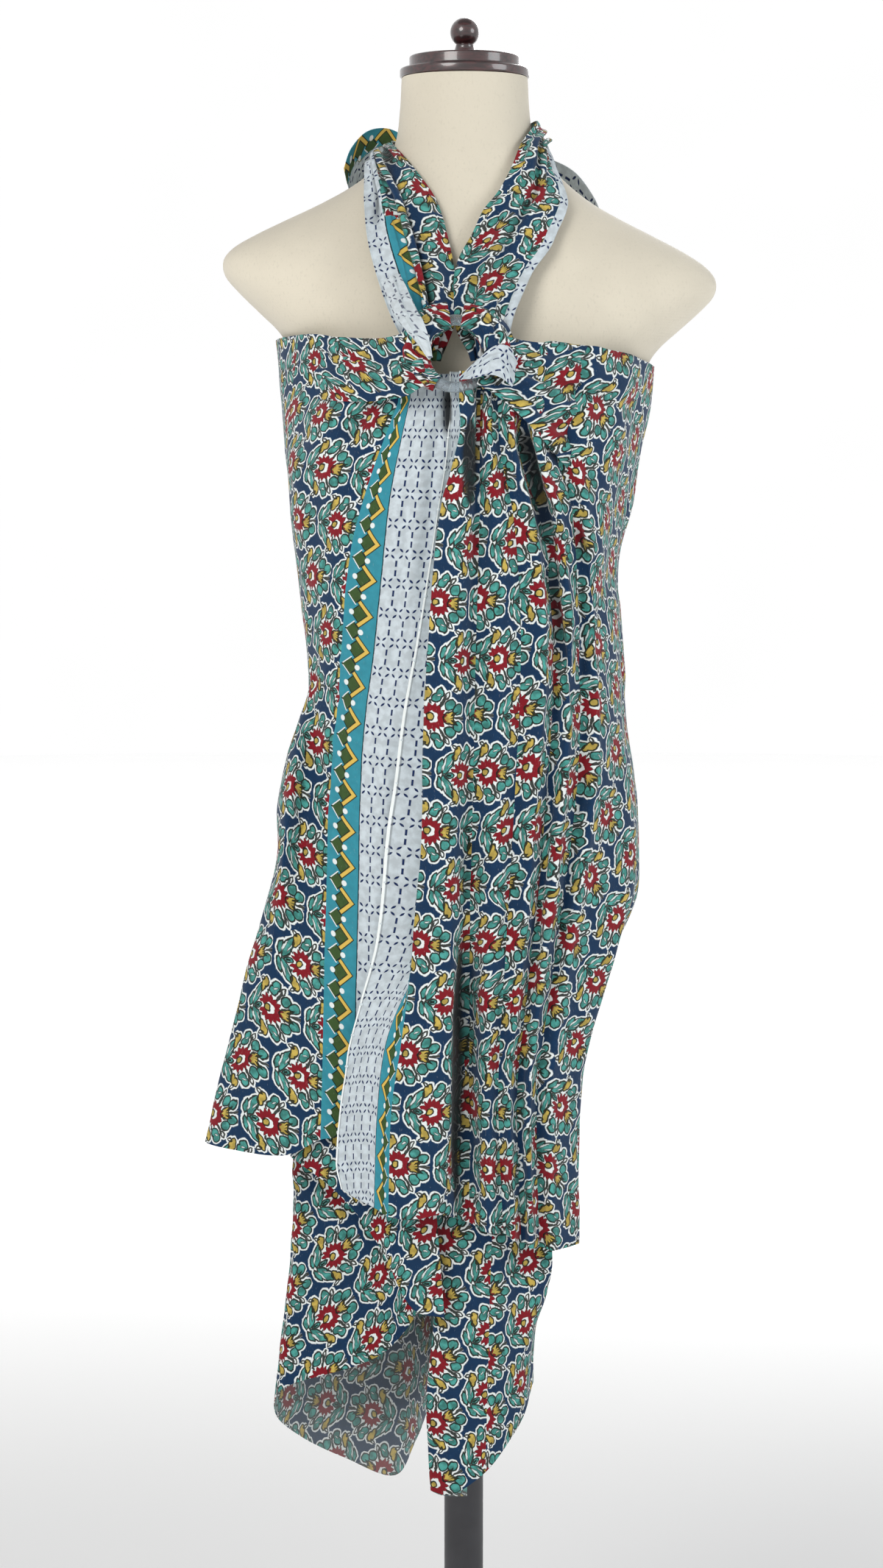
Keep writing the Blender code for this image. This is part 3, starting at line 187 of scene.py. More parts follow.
# The fold lines of the hanging cloth, from the hidden left selvedge round the back to the right one, in mm.
# A row is one fold line: its name, how far it stands proud of the draped front above and below the waist
# fold, and its knots (height, x, y) from the top edge down to the hem. A knot with no y lies on the
# draped front.
FOLD_LINES = metres((
    ("left selvedge", 0, 0, ((1237, -10), (1157, -6), (1050, -18), (940, -31), (820, -36), (662, -40))),
    ("white middle", 1.5, 1, ((1237, -26), (1157, -32), (1050, -44), (940, -57), (820, -60), (660, -64))),
    ("left teal inner", 0, 0, (
        (1236.5, -42), (1205, -49), (1157, -58), (1050, -69.5), (977, -79), (880, -82.5), (820, -84),
        (659, -88))),
    ("left teal outer", 1, 1, (
        (1233, -50.5), (1169, -74), (1110, -89), (1020, -97), (935, -104.5), (820, -108), (658, -112))),
    ("left front", 3, 3, (
        (1264, -60), (1200, -88), (1130, -104), (1020, -112), (940, -123), (820, -132), (644, -140))),
    ("left flare", 2, 2, (
        (1276.5, -80), (1200, -112), (1100, -121), (1010, -119), (950, -133, -82), (820, -151, -88),
        (646, -182, -88))),
    ("left outline", 0, 0, (
        (1283, -100), (1200, -130, -66), (1100, -128.5, -52), (1012, -122.5, -46), (982, -133, -50),
        (955, -141.5, -54), (920, -148, -58), (877, -149.5, -62), (827, -162.6, -64), (757, -181, -66),
        (649, -207, -68))),
    ("left turn back", 0, 0, (
        (1286, -119), (1200, -139, -42), (1100, -132.5, -33), (1012, -124, -30), (982, -127.5, -33),
        (920, -138, -43), (827, -152, -50), (757, -168, -52), (652, -190, -54))),
    ("left inner", 0, 0, (
        (1286, -136, -52), (1200, -142, -24), (1100, -134, -16), (1012, -124.5, -17), (970, -126, -28),
        (920, -130, -50), (870, -126, -74), (800, -110, -86), (720, -90, -88), (655, -82, -86))),
    ("left valley", 0, 0, (
        (1285.5, -144, -34), (1200, -143.5, -12), (1100, -134.5, -4), (1012, -124.5, -6),
        (960, -127.5, -22), (920, -127, -44), (880, -117, -64), (830, -84, -83), (760, -43, -77),
        (700, -24, -74), (600, -12, -71))),
    ("left low inner", 0, 0, (
        (1285, -148.5, -16), (1200, -144, 0), (1100, -134.5, 6), (1012, -124.5, 4), (960, -128.5, -8),
        (900, -132, -30), (845, -122, -56), (780, -94, -60), (680, -66, -56), (478, -58, -53))),
    ("left low outline", 0, 0, (
        (1284.5, -150.5, 0), (1200, -143.5, 14), (1100, -133.5, 18), (1012, -124, 16), (950, -131.5, 6),
        (900, -137.5, -2), (845, -137.5, -10), (680, -136.5, -26), (578, -136, -28), (500, -142.5, -30),
        (434, -150.5, -30))),
    ("left low turn", 0, 0, (
        (1284, -150, 16), (1200, -141, 28), (1100, -130.5, 30), (1012, -121.5, 28), (950, -130, 22),
        (900, -136.5, 16), (800, -138.5, -2), (680, -139, -12), (578, -138.5, -14), (500, -145.5, -16),
        (412, -154.5, -18))),
    ("low back left", 0, 0, (
        (1282, -136, 50), (1200, -124, 57), (1100, -115, 53), (1012, -108, 50), (950, -118, 56),
        (900, -126, 59), (840, -128, 54), (680, -126, 22), (550, -124, 14), (386, -136, 6))),
    ("back left", 0, 0, (
        (1278, -90, 88), (1200, -86, 83), (1100, -78, 75), (1012, -74, 73), (900, -88, 94), (820, -94, 90),
        (680, -96, 56), (550, -98, 36), (360, -100, 30))),
    ("low corner", 0, 0, (
        (1270, -42, 101), (1200, -40, 98.5), (1100, -36, 89), (1012, -35, 88), (900, -44, 108),
        (820, -50, 110), (680, -52, 78), (550, -54, 58), (339, -56, 50))),
    ("low turn", 0, 0, (
        (1266, -14, 104), (1200, -14, 101), (1100, -12, 91.5), (1012, -12, 90), (900, -16, 111),
        (820, -24, 118), (680, -30, 98), (550, -34, 74), (366, -40, 64))),
    ("back ridge", 0, 0, (
        (1262, 12, 104), (1200, 12, 101), (1100, 10, 91.5), (1012, 10, 90), (900, 12, 112), (800, 8, 124),
        (680, 0, 118), (550, -12, 106), (402, -20, 98))),
    ("back hollow", 0, 0, (
        (1260, 40, 101.5), (1200, 38, 99), (1100, 34, 89.5), (1012, 34, 88), (900, 40, 109),
        (830, 38, 109), (680, 26, 90), (550, 14, 82), (416, 6, 78))),
    ("back right", 0, 0, (
        (1260, 90, 89), (1200, 86, 84), (1100, 77, 76), (1012, 78, 73), (900, 90, 96), (830, 86, 104),
        (680, 58, 96), (550, 42, 92), (424, 32, 88))),
    ("low right turn", 0, 0, (
        (1262, 134, 52), (1200, 124, 56), (1100, 111, 52), (1012, 115, 49), (900, 126, 60), (835, 123, 64),
        (680, 78, 60), (550, 58, 52), (430, 43, 48))),
    ("low right outline", 0, 0, (
        (1263, 149, 16), (1200, 140, 18), (1100, 124.5, 16), (1012, 129, 14), (900, 138.5, 14),
        (840, 138.5, 14), (780, 113, 12), (680, 84, 8), (550, 60, 6), (440, 45, 6))),
    ("right hip", 0, 0, (
        (1263.5, 151.5, -2), (1226.5, 148, -2), (1192, 140.5, -3), (1150, 134, -5), (1105.6, 122, -6),
        (1068.6, 126, -8), (1019, 129, -10), (994, 126.5, -10), (967, 132.5, -10), (933, 137.5, -12),
        (895, 140.5, -14), (840, 139, -18), (780, 112, -24), (680, 78, -24), (550, 56, -24),
        (460, 46, -24))),
    ("right inner", 0, 0, (
        (1264, 149.5, -22), (1200, 138.5, -22), (1105.6, 119.5, -24), (1068.6, 123, -26),
        (1000, 125.5, -26), (933, 134.5, -30), (895, 137.5, -34), (840, 134, -44), (790, 104, -54),
        (700, 73, -50), (560, 60, -46))),
    ("right outline", 0, 0, (
        (1266.5, 143, -44), (1200, 132, -46), (1105.6, 114, -44), (1068.6, 118, -48), (1000, 121, -48),
        (933, 129, -54), (880, 132.5, -60), (828, 127, -68), (784, 115, -72), (744, 102.5, -73),
        (700, 93.5, -73), (654, 91.5, -71), (567, 91.5, -70))),
    ("right front", 2, 2, (
        (1271, 126), (1200, 114), (1100, 102), (1000, 108), (900, 110), (800, 93), (700, 78), (568, 78))),
    ("fold C", 9, 8, (
        (1275, 100), (1190, 86), (1148, 93), (1113, 96), (1038, 100), (940, 100), (800, 80), (700, 67),
        (569, 69))),
    ("hollow C", -1, 0, (
        (1278.5, 78), (1200, 69), (1150, 82), (1100, 87), (1038, 89), (940, 88), (800, 70), (700, 57),
        (571, 59))),
    ("fold B", 10, 9, (
        (1277, 58), (1193, 56), (1150, 70), (1100, 77), (1038, 80), (940, 76), (800, 61), (700, 50),
        (573, 52))),
    ("hollow B", 0, 1, (
        (1260, 46), (1193, 44), (1150, 59), (1100, 67), (1038, 69), (940, 65), (800, 52), (700, 42),
        (576, 45))),
    ("fold A", 11, 10, (
        (1238, 33), (1193, 37), (1150, 49), (1100, 56), (1038, 60), (940, 54), (800, 43), (700, 35),
        (580, 38))),
    ("hollow A", 4, 2, (
        (1237, 24), (1193, 27), (1150, 36), (1100, 41), (1038, 43), (940, 39), (800, 31), (700, 26),
        (584, 30))),
    ("front middle", 10, 8, (
        (1237, 17), (1193, 18), (1150, 24), (1038, 26), (940, 24), (800, 19), (700, 17), (586, 20))),
    ("dark hollow", 3, 0, (
        (1237, 10.5), (1193, 10), (1150, 10), (1038, 7), (940, 5), (860, 3, -112), (780, 2, -101),
        (700, 2, -99), (590, 2, -98))),
    ("tail outline", 14, 12, (
        (1237, 5), (1193, 4), (1150, 0), (1038, -5), (940, -8.5), (833, -11.5), (712, -11), (671, -15),
        (602, -21.5))),
    ("tail middle", 19, 18, (
        (1237, 0), (1193, -3), (1150, -11), (1038, -18), (940, -21), (833, -26), (712, -32), (599, -40))),
    ("leading fold", 15.5, 16.5, (
        (1237, -4.5), (1210, -3.5), (1182, -10), (1161, -16.5), (1120, -23), (1079, -26.5), (1030, -29),
        (956, -31), (902, -33), (857, -37.5), (782, -44), (742, -49.5), (683, -57.5), (601, -60))),
    ("tuck above", 11.5, 15, (
        (1237, -2.5), (1193, -4.5), (1150, -10.5), (1038, -17), (902, -24), (820, -34), (742, -56.5),
        (683, -64), (605, -67))),
    ("tuck", 8.5, 13.2, (
        (1237, -0.5), (1193, -1), (1150, -6), (1038, -11), (902, -18), (820, -29), (742, -64), (683, -72),
        (609, -74.5))),
    ("tuck below", 5.5, 11, (
        (1237, -3), (1193, -6), (1150, -12), (1038, -19), (902, -30), (820, -42), (742, -75.5), (683, -85),
        (614, -86))),
    ("right selvedge", 4.5, 8, (
        (1237, -12), (1194, -14.5), (1148, -21.5), (1064, -35), (992, -48), (938, -55), (902, -60.5),
        (820, -68.5), (766, -82), (728, -91.5), (642.5, -100.5), (621, -96))),
))

# The layer whose hem shows below both front panels; its top is hidden against the left panel's back, in mm
MIDDLE_LINES = metres((
    ("middle left", -2.2, -12, ((820, -130), (640, -138))),
    ("middle flower", -2, -9.5, ((835, -102), (700, -102), (613, -100))),
    ("middle bend", -2, -8.5, ((840, -78), (700, -74), (572, -68))),
    ("middle tail", -2, -8.5, ((840, -55), (700, -48), (520, -40))),
    ("middle end", -2, -8.5, ((840, -42), (700, -30), (514, -16))),
))

# The fold that hangs lowest at the front; its top is hidden behind the right panel, in mm
LOW_FOLD_LINES = metres((
    ("low fold right", 0, 0, (
        (700, 62, -71), (600, 67, -69), (549, 70.5, -61), (520, 66, -51), (490, 57.5, -42), (443, 56, -34))),
    ("low fold shoulder", 0, 0, ((710, 52, -80), (549, 52, -66), (413, 45, -52))),
    ("low fold front", 0, 0, ((720, 26, -93), (549, 20, -84), (378, 16, -70))),
    ("low fold left", 0, 0, ((720, -2, -97.8), (600, -12, -90), (500, -16, -84), (362, -12, -76))),
    ("low fold edge", 0, 0, (
        (715, -12, -91.5), (600, -21.5, -85), (500, -24.5, -79), (440, -30.5, -74), (364, -26.5, -71))),
    ("low fold behind", 0, 0, ((700, -4, -85.5), (600, -14, -79), (500, -18, -73), (358, -18, -65))),
    ("low fold end", 0, 0, ((690, 20, -81), (600, 10, -75), (500, 6, -68), (356, 2, -60))),
))


def fold_spot(row, v):
    """The point of one fold line at v, from 0 at its top to 1 at its hem."""
    _, lift_above, lift_below, knots = row
    top, hem = knots[0][0], knots[-1][0]
    z = top + (hem - top) * v
    x, y = between([(*knot, 0.0)[:3] for knot in knots], z)
    on_front = between([(knot[0], float(len(knot) == 2)) for knot in knots], z)[0]
    if on_front > 0.0:
        lift = lift_below + (lift_above - lift_below) * smooth_step(0.72, 0.80, z)
        y = drape_front(x, z) - lift
        held = [(knot[0], knot[2]) for knot in knots if len(knot) == 3]
        if held:
            y = y * on_front + between(held, z)[0] * (1.0 - on_front)
    return Vector((x, y, z))


def sheet_point(lines, k, v):
    """A cloth stretch: k counts along its fold lines, v runs from the top edge to the hem."""
    last = len(lines) - 1
    k = min(max(k, 0.0), float(last))
    i = min(int(k), last - 1)
    t = k - i
    before, here, after, beyond = [fold_spot(lines[min(max(i + n, 0), last)], v) for n in (-1, 0, 1, 2)]
    span = math.sqrt((after - here).length) + 1e-6
    slope_here = slope_after = after - here
    if i > 0:
        back = math.sqrt((here - before).length) + 1e-6
        slope_here = ((here - before) / back - (after - before) / (back + span)
                      + (after - here) / span) * span
    if i < last - 1:
        ahead = math.sqrt((beyond - after).length) + 1e-6
        slope_after = ((after - here) / span - (beyond - here) / (span + ahead)
                       + (beyond - after) / ahead) * span
    return ((2*t**3 - 3*t**2 + 1) * here + (t**3 - 2*t**2 + t) * slope_here
            + (3*t**2 - 2*t**3) * after + (t**3 - t**2) * slope_after)


def line(name):
    """The place of a fold line, counted along FOLD_LINES."""
    return [row[0] for row in FOLD_LINES].index(name)


# A strap is a row for each station from the ring to the neck: its outer edge and its inner edge, in mm.
LEFT_STRAP = metres((
    ((-40, -122.5, 1266), (-19, -122.5, 1264)),
    ((-47, -123.3, 1280), (-14, -123.4, 1280)),
    ((-53, -122, 1291), (-9.5, -121.5, 1298)),
    ((-60, -115.5, 1307.5), (-9, -108, 1324)),
    ((-68.5, -101, 1333), (-12, -88, 1352)),
    ((-75, -85, 1359), (-17, -78, 1375)),
    ((-78, -65, 1386), (-24, -69, 1393)),
    ((-79, -45, 1405), (-36, -61, 1410)),
    ((-78.5, -14, 1423.6), (-49.7, -40.8, 1428)),
    ((-72, 24, 1418), (-58.7, -3.8, 1441)),
    ((-56, 52, 1412), (-50, 32, 1444)),
    ((-38, 68, 1406), (-33, 52, 1440)),
    ((-17.2, 79, 1408), (-16, 70, 1430)),
))
RIGHT_STRAP = metres((
    ((26, -122.5, 1268), (4, -122.5, 1264)),
    ((33, -123.1, 1284), (-0.5, -123.1, 1280)),
    ((37, -121.5, 1299), (-3.5, -121.5, 1297)),
    ((44, -111, 1316), (-4, -113, 1315)),
    ((52.5, -98, 1334), (-3.5, -102, 1332)),
    ((65.3, -87, 1351.6), (-0.5, -92, 1349)),
    ((71.5, -78, 1365), (6.3, -83, 1365)),
    ((78.7, -65, 1381.5), (14, -75, 1382)),
    ((80, -54, 1394), (25, -68, 1396)),
    ((73, -37, 1415), (35.5, -58.5, 1415)),
    ((67, -11, 1434), (44, -43, 1436)),
    ((64, 18, 1433), (56.8, -10, 1456)),
    ((53, 46, 1422), (48.6, 33, 1456)),
    ((35, 68, 1410), (35, 56, 1446)),
    ((17.8, 79, 1408), (16.5, 70, 1430)),
))
STRAP_PUFF = 0.007           # how far a strap's middle stands off the line between its edges
STRAP_PLEATS = 3.5
STRAP_PLEAT_DEPTH = 0.0022
TAIL_PUFF = 0.004
TAIL_PLEATS = 1.5
TAIL_PLEAT_DEPTH = 0.004

# The ends of the cloth behind the neck: stations from the knot outwards, upper edge and lower edge, in mm.
LEFT_TAIL = metres((
    ((-17.6, 85, 1431), (-17.6, 89, 1409)),
    ((-40, 84, 1448), (-35, 98, 1393)),
    ((-60, 76, 1459), (-50, 108, 1372)),
    ((-78, 64, 1456), (-64, 116, 1350)),
    ((-91, 54, 1442), (-76, 120, 1332)),
    ((-97, 50, 1425), (-83, 121, 1318)),
))
RIGHT_TAIL = metres((
    ((18.4, 85, 1431), (18.4, 89, 1409)),
    ((42, 88, 1441), (34, 99, 1390)),
    ((68, 82, 1436), (47, 108, 1365)),
    ((90, 76, 1424), (62, 115, 1340)),
    ((106, 74, 1404), (80, 118, 1316)),
    ((115, 76, 1384), (94, 118, 1298)),
))


def band(stations, u, v, puff, pleats, depth):
    """A gathered band: u crosses it from the outer to the inner edge, v runs along its stations.

    Its middle stands off by puff, and its pleats, with the given depth, fade out at both edges.
    """
    rows = [(n / (len(stations) - 1.0), *a, *b) for n, (a, b) in enumerate(stations)]
    found = between(rows, v)
    outer, inner = Vector(found[:3]), Vector(found[3:])
    ahead, back = between(rows, min(v + 0.02, 1.0)), between(rows, max(v - 0.02, 0.0))
    along = Vector(ahead[:3]) + Vector(ahead[3:]) - Vector(back[:3]) - Vector(back[3:])
    off = along.cross(inner - outer).normalized()
    wave = depth * math.sin(2.0 * math.pi * pleats * u) * math.sin(math.pi * u) ** 0.5
    swell = puff * math.sin(math.pi * u) * (0.35 + 0.65 * math.sin(math.pi * v))
    return outer.lerp(inner, u) + off * (swell + wave)


def ring_axes():
    """The ring's own axes: to the right, up along its plane, and out of its plane to the front."""
    return (Vector((1.0, 0.0, 0.0)), Vector((0.0, math.sin(RING_LEAN), math.cos(RING_LEAN))),
            Vector((0.0, -math.cos(RING_LEAN), math.sin(RING_LEAN))))


def turn_round_ring(u, v, start, end, fat):
    """Cloth looped round the ring: v runs along the ring's arc, u round the ring's section."""
    right, up, front = ring_axes()
    angle = start + (end - start) * v
    out = right * math.cos(angle) + up * math.sin(angle)
    section = TURN_OPEN + (2.0 * math.pi - 2.0 * TURN_OPEN) * u - math.pi
    swell = (0.72 + 0.28 * math.sin(math.pi * v)) * (1.0 + 0.09 * math.cos(5.0 * section + 4.0 * v))
    outwards = (0.5 + 0.5 * math.cos(section)) ** 0.7
    radius = TURN_SEAT + (fat * swell - TURN_SEAT) * outwards
    middle = Vector(RING_CENTRE) + out * RING_RADIUS
    return middle + out * (radius * math.cos(section)) + front * (radius * math.sin(section))


def paint(red, green, blue):
    """A colour from its eight-bit levels, as linear light."""
    return tuple(((v / 255.0 + 0.055) / 1.055) ** 2.4 for v in (red, green, blue))


def shade(colour, factor):
    """A colour, darker or lighter by a factor."""
    return tuple(factor * c for c in colour)


def length(name, description, size):
    """A length for the panel."""
    return bpy.props.FloatProperty(name=name, description=description, default=size, unit='LENGTH')


def dye(name, description, *levels):
    """A colour for the panel, from its eight-bit levels."""
    return bpy.props.FloatVectorProperty(name=name, description=description, subtype='COLOR',
                                         default=paint(*levels))


class PrintSizes(bpy.types.PropertyGroup):
    """Sizes and dyes of the block print."""
    spacing: length("Motif spacing", "From one flower to the next along a row", 0.051)
    row_spacing: length("Row spacing", "From one row of flowers to the next", 0.044)
    white_width: length("White border", "Width of the white border at the selvedge", 0.050)
    band_width: length("Zigzag band", "Width of the zigzag band inside the border", 0.027)
    ground: dye("Ground", "Deep blue ground of the print", 4, 46, 80)
    leaf: dye("Leaf", "Teal of the leaves", 70, 148, 140)
    flower: dye("Flower", "Red of the flowers", 132, 10, 28)
    bud: dye("Bud", "Yellow of the buds", 204, 178, 86)
    outline: dye("Outline", "Olive of the drawn lines", 12, 20, 12)
    white: dye("White", "Undyed cotton", 232, 237, 236)
    # The border's cool white sits darker than the undyed white: partly the border's own white, partly
    # painted shade for the shade it hangs in.
    shaded_border_white: dye("Border white", "White of the border", 204, 214, 220)
    dash: dye("Dash", "Blue of the border's dashes", 16, 38, 84)
    band: dye("Band", "Turquoise of the zigzag band", 52, 142, 160)
    chevron: dye("Chevron", "Mustard of the chevrons", 220, 186, 88)
    diamond: dye("Diamond", "Green of the diamonds", 54, 78, 38)


class ClothSizes(bpy.types.PropertyGroup):
    """Sizes of the cloth shells."""
    thickness: length("Thickness", "Thickness of the cotton", 0.0006)
    creases: bpy.props.FloatProperty(
        name="Creases", description="Depth of the creases, 1 as made", default=1.0, min=0.0, max=2.0)
    unevenness: length("Unevenness", "Height of the slow swell of the cloth", 0.0012)
    cover: dye("Form cover", "Cream jersey of the form", 224, 216, 198)
    cap: dye("Cap", "Mahogany of the neck cap", 46, 17, 18)


class StudioSizes(bpy.types.PropertyGroup):
    """Floor, light and camera."""
    floor: dye("Floor", "Colour of the floor", 244, 244, 244)
    key: bpy.props.FloatProperty(
        name="Key light", description="Power of the key light", default=52.0, unit='POWER')
    fill: bpy.props.FloatProperty(
        name="Sky", description="Strength of the soft light all round", default=0.36)
    lens: bpy.props.FloatProperty(name="Lens", description="Focal length, mm", default=74.04)


class Signal:
    """One output of a node: a number or a vector over the surface. Maths on it adds Math nodes."""

    def __init__(self, bench, socket):
        self.bench = bench
        self.socket = socket

    def __add__(self, other):
        return self.bench.maths('ADD', self, other)

    __radd__ = __add__

    def __sub__(self, other):
        return self.bench.maths('SUBTRACT', self, other)

    def __rsub__(self, other):
        return self.bench.maths('SUBTRACT', other, self)

    def __mul__(self, other):
        return self.bench.maths('MULTIPLY', self, other)

    __rmul__ = __mul__

    def __abs__(self):
        return self.bench.maths('ABSOLUTE', self)


class Bench:
    """The node tree of one material, where its maths is written as expressions."""

    def __init__(self, name):
        self.material = bpy.data.materials.new(name)
        self.material.use_nodes = True
        self.tree = self.material.node_tree
        self.shader = self.tree.nodes["Principled BSDF"]

    def plug(self, socket, value):
        """Links a signal into a socket, or sets its value."""
        if isinstance(value, Signal):
            self.tree.links.new(value.socket, socket)
        else:
            socket.default_value = value

    def node(self, kind, settings, sockets, output=0):
        """Any node: its type, its settings, and the values or links of its sockets. Gives one output."""
        made = self.tree.nodes.new(kind)
        for key, value in settings.items():
            setattr(made, key, value)
        for key, value in sockets.items():
            self.plug(made.inputs[key], value)
        return Signal(self, made.outputs[output])

    def maths(self, operation, *values):
        return self.node("ShaderNodeMath", {"operation": operation}, dict(enumerate(values)))

    def vectors(self, operation, *values, output=0):
        return self.node("ShaderNodeVectorMath", {"operation": operation}, dict(enumerate(values)), output)

    def least(self, values):
        """The smallest of several signals at each place."""
        found = values[0]
        for value in values[1:]:
            found = self.maths('MINIMUM', found, value)
        return found

    def most(self, values):
        """The largest of several signals at each place."""
        found = values[0]
        for value in values[1:]:
            found = self.maths('MAXIMUM', found, value)
        return found

    def fade(self, value, low, high):
        """0 at low and 1 at high, with a soft change between them; low may be the larger."""
        return self.node("ShaderNodeMapRange", {"interpolation_type": 'SMOOTHSTEP'},
                         {"Value": value, "From Min": low, "From Max": high})

    def over(self, mask, under, top):
        """A colour laid over another where the mask is 1."""
        full = [c if isinstance(c, Signal) else (*c[:3], 1.0) for c in (under, top)]
        return self.node("ShaderNodeMix", {"data_type": 'RGBA'}, {0: mask, 6: full[0], 7: full[1]}, 2)

    def tones(self, mask, colour, dark, light):
        """A colour from its darker to its lighter tone by the mask."""
        return self.over(mask, shade(colour, dark), shade(colour, light))

    def inside(self, distance, soft=0.25):
        """1 where a distance is below 0, and 0 above it, with a soft edge."""
        return self.fade(distance, soft, -soft)

    def solid(self, stretch=(1.0, 1.0, 1.0)):
        """The place on the object, in metres, stretched by a factor on each axis."""
        place = self.node("ShaderNodeTexCoord", {}, {}, "Object")
        return place if stretch == (1.0, 1.0, 1.0) else self.vectors('MULTIPLY', place, stretch)

    def far(self, place):
        """Distance from the origin."""
        return self.vectors('LENGTH', place, output=1)

    def flat(self, x, y):
        """A vector from its x and y."""
        return self.node("ShaderNodeCombineXYZ", {}, {0: x, 1: y, 2: 0.0})

    def fixed(self, levels):
        """Sets constant levels on the shader."""
        for name, level in levels.items():
            self.shader.inputs[name].default_value = level

    def either(self, mask, first, second):
        """The first vector where the mask is 0, the second where it is 1."""
        return self.node("ShaderNodeMix", {"data_type": 'VECTOR'}, {0: mask, 4: first, 5: second}, 1)

    def noise(self, place, scale, detail=2.0, output="Fac"):
        return self.node("ShaderNodeTexNoise", {"noise_dimensions": '3D'},
                         {"Vector": place, "Scale": scale, "Detail": detail}, output)

    def bump(self, height, strength, distance, normal=None):
        """A Bump node for the shader's normal; heights are in metres over distance."""
        sockets = {"Height": height, "Strength": strength, "Distance": distance}
        if normal is not None:
            sockets["Normal"] = normal
        return self.node("ShaderNodeBump", {}, sockets)

    def parts(self, place):
        """The x and y of a vector."""
        made = self.tree.nodes.new("ShaderNodeSeparateXYZ")
        self.plug(made.inputs[0], place)
        return Signal(self, made.outputs[0]), Signal(self, made.outputs[1])

    def leaf(self, place, row):
        """Distance from the edge of a pointed leaf, below 0 inside: centre, turn in degrees, half sizes."""
        x, y, turn, half_length, half_width = row
        bow = (half_length ** 2 + half_width ** 2) / (2.0 * half_width)
        own = self.node("ShaderNodeMapping", {"vector_type": 'TEXTURE'}, {
            "Vector": place, "Location": (x, y, 0.0), "Rotation": (0.0, 0.0, math.radians(turn))})
        folded = self.vectors('ABSOLUTE', own)
        return self.far(self.vectors('ADD', folded, (0.0, bow - half_width, 0.0))) - bow

    def finish(self, colour, roughness, normal=None):
        """Sets what changes over the surface on the shader, and gives the material."""
        self.plug(self.shader.inputs["Base Color"], colour)
        self.plug(self.shader.inputs["Roughness"], roughness)
        if normal is not None:
            self.plug(self.shader.inputs["Normal"], normal)
        return self.material


# The flower motif, in millimetres round the middle of a flower with its bud towards +x. Shapes off the axis
# are mirrored below it. A row is: centre across, centre up, turn in degrees, half length, half width.
TEAL_LEAVES = (
    (-13.0, 9.0, 64.0, 9.8, 3.7),
    (-18.8, 6.4, 76.0, 5.8, 2.3),
    (-11.4, 0.0, 0.0, 3.8, 2.1),
    (2.6, 15.2, 30.0, 4.3, 3.3),
    (5.2, 19.3, 80.0, 3.9, 3.4),
    (13.2, 10.4, 50.0, 4.6, 3.9),
    (20.0, 6.7, 20.0, 4.6, 3.9),
)
YELLOW_BUDS = (
    (-4.9, 18.2, 72.0, 4.6, 3.2),
    (-6.8, 14.2, 66.0, 3.6, 2.4),
    (12.0, 0.0, 0.0, 4.4, 3.9),
    (14.4, 2.9, 22.0, 3.4, 2.0),
)
WHITE_STREAKS = (
    (-15.9, 8.2, 68.0, 6.8, 1.0),
    (-10.8, 9.4, 58.0, 4.6, 0.6),
    (4.6, 17.4, 20.0, 2.4, 0.7),
)
CURLS = (
    (10.6, 17.0, 58.0, 3.4, 1.5),
    (-7.6, 21.8, 150.0, 2.6, 1.2),
)
STEMS = (
    (23.0, 0.0, 0.0, 7.0, 0.55),
    (8.0, 12.8, 64.0, 3.8, 0.45),
    (16.8, 3.4, 28.0, 2.6, 0.4),
)
HALO = 1.9                   # width of the white edge round a motif, mm
LINE = 0.62                  # half width of a drawn line, mm
LINE_EDGE = 0.18             # how soft a drawn line's edge is, mm
MOTIF_REACH = 14.5           # radius of the white round the flower's petals, mm
# Points round the flower's middle: how many half turns, radius of the hollows, height of the points, mm
PETALS = (15.0, 8.4, 2.9)
HEART = (5.0, 3.5, 0.9)
STAMENS = 9.0
# Single leaf shapes on the axis, in the same columns as the leaves
OPENING = (-8.8, 0.0, 0.0, 4.2, 2.0)
PIP = (-2.1, 0.0, 45.0, 2.9, 2.5)
CALYX = (-10.4, 0.0, 0.0, 2.8, 1.5)
DRIFT = 3.4                  # how far the hand-cut block wanders, mm


def near_motif(bench, place, across, up):
    """Where a place lies from the nearest flower's middle, mm. Every second row is set over by half."""
    half = (across / 2.0, up, 0.0)
    found = []
    for shift in (1.0, 2.0):
        moved = bench.vectors('ADD', place, tuple(shift * size for size in half))
        cell = bench.vectors('SNAP', moved, (across, 2.0 * up, 1.0))
        found.append(bench.vectors('SUBTRACT', bench.vectors('SUBTRACT', moved, cell), half))
    return bench.either(bench.maths('LESS_THAN', bench.far(found[1]), bench.far(found[0])), *found)


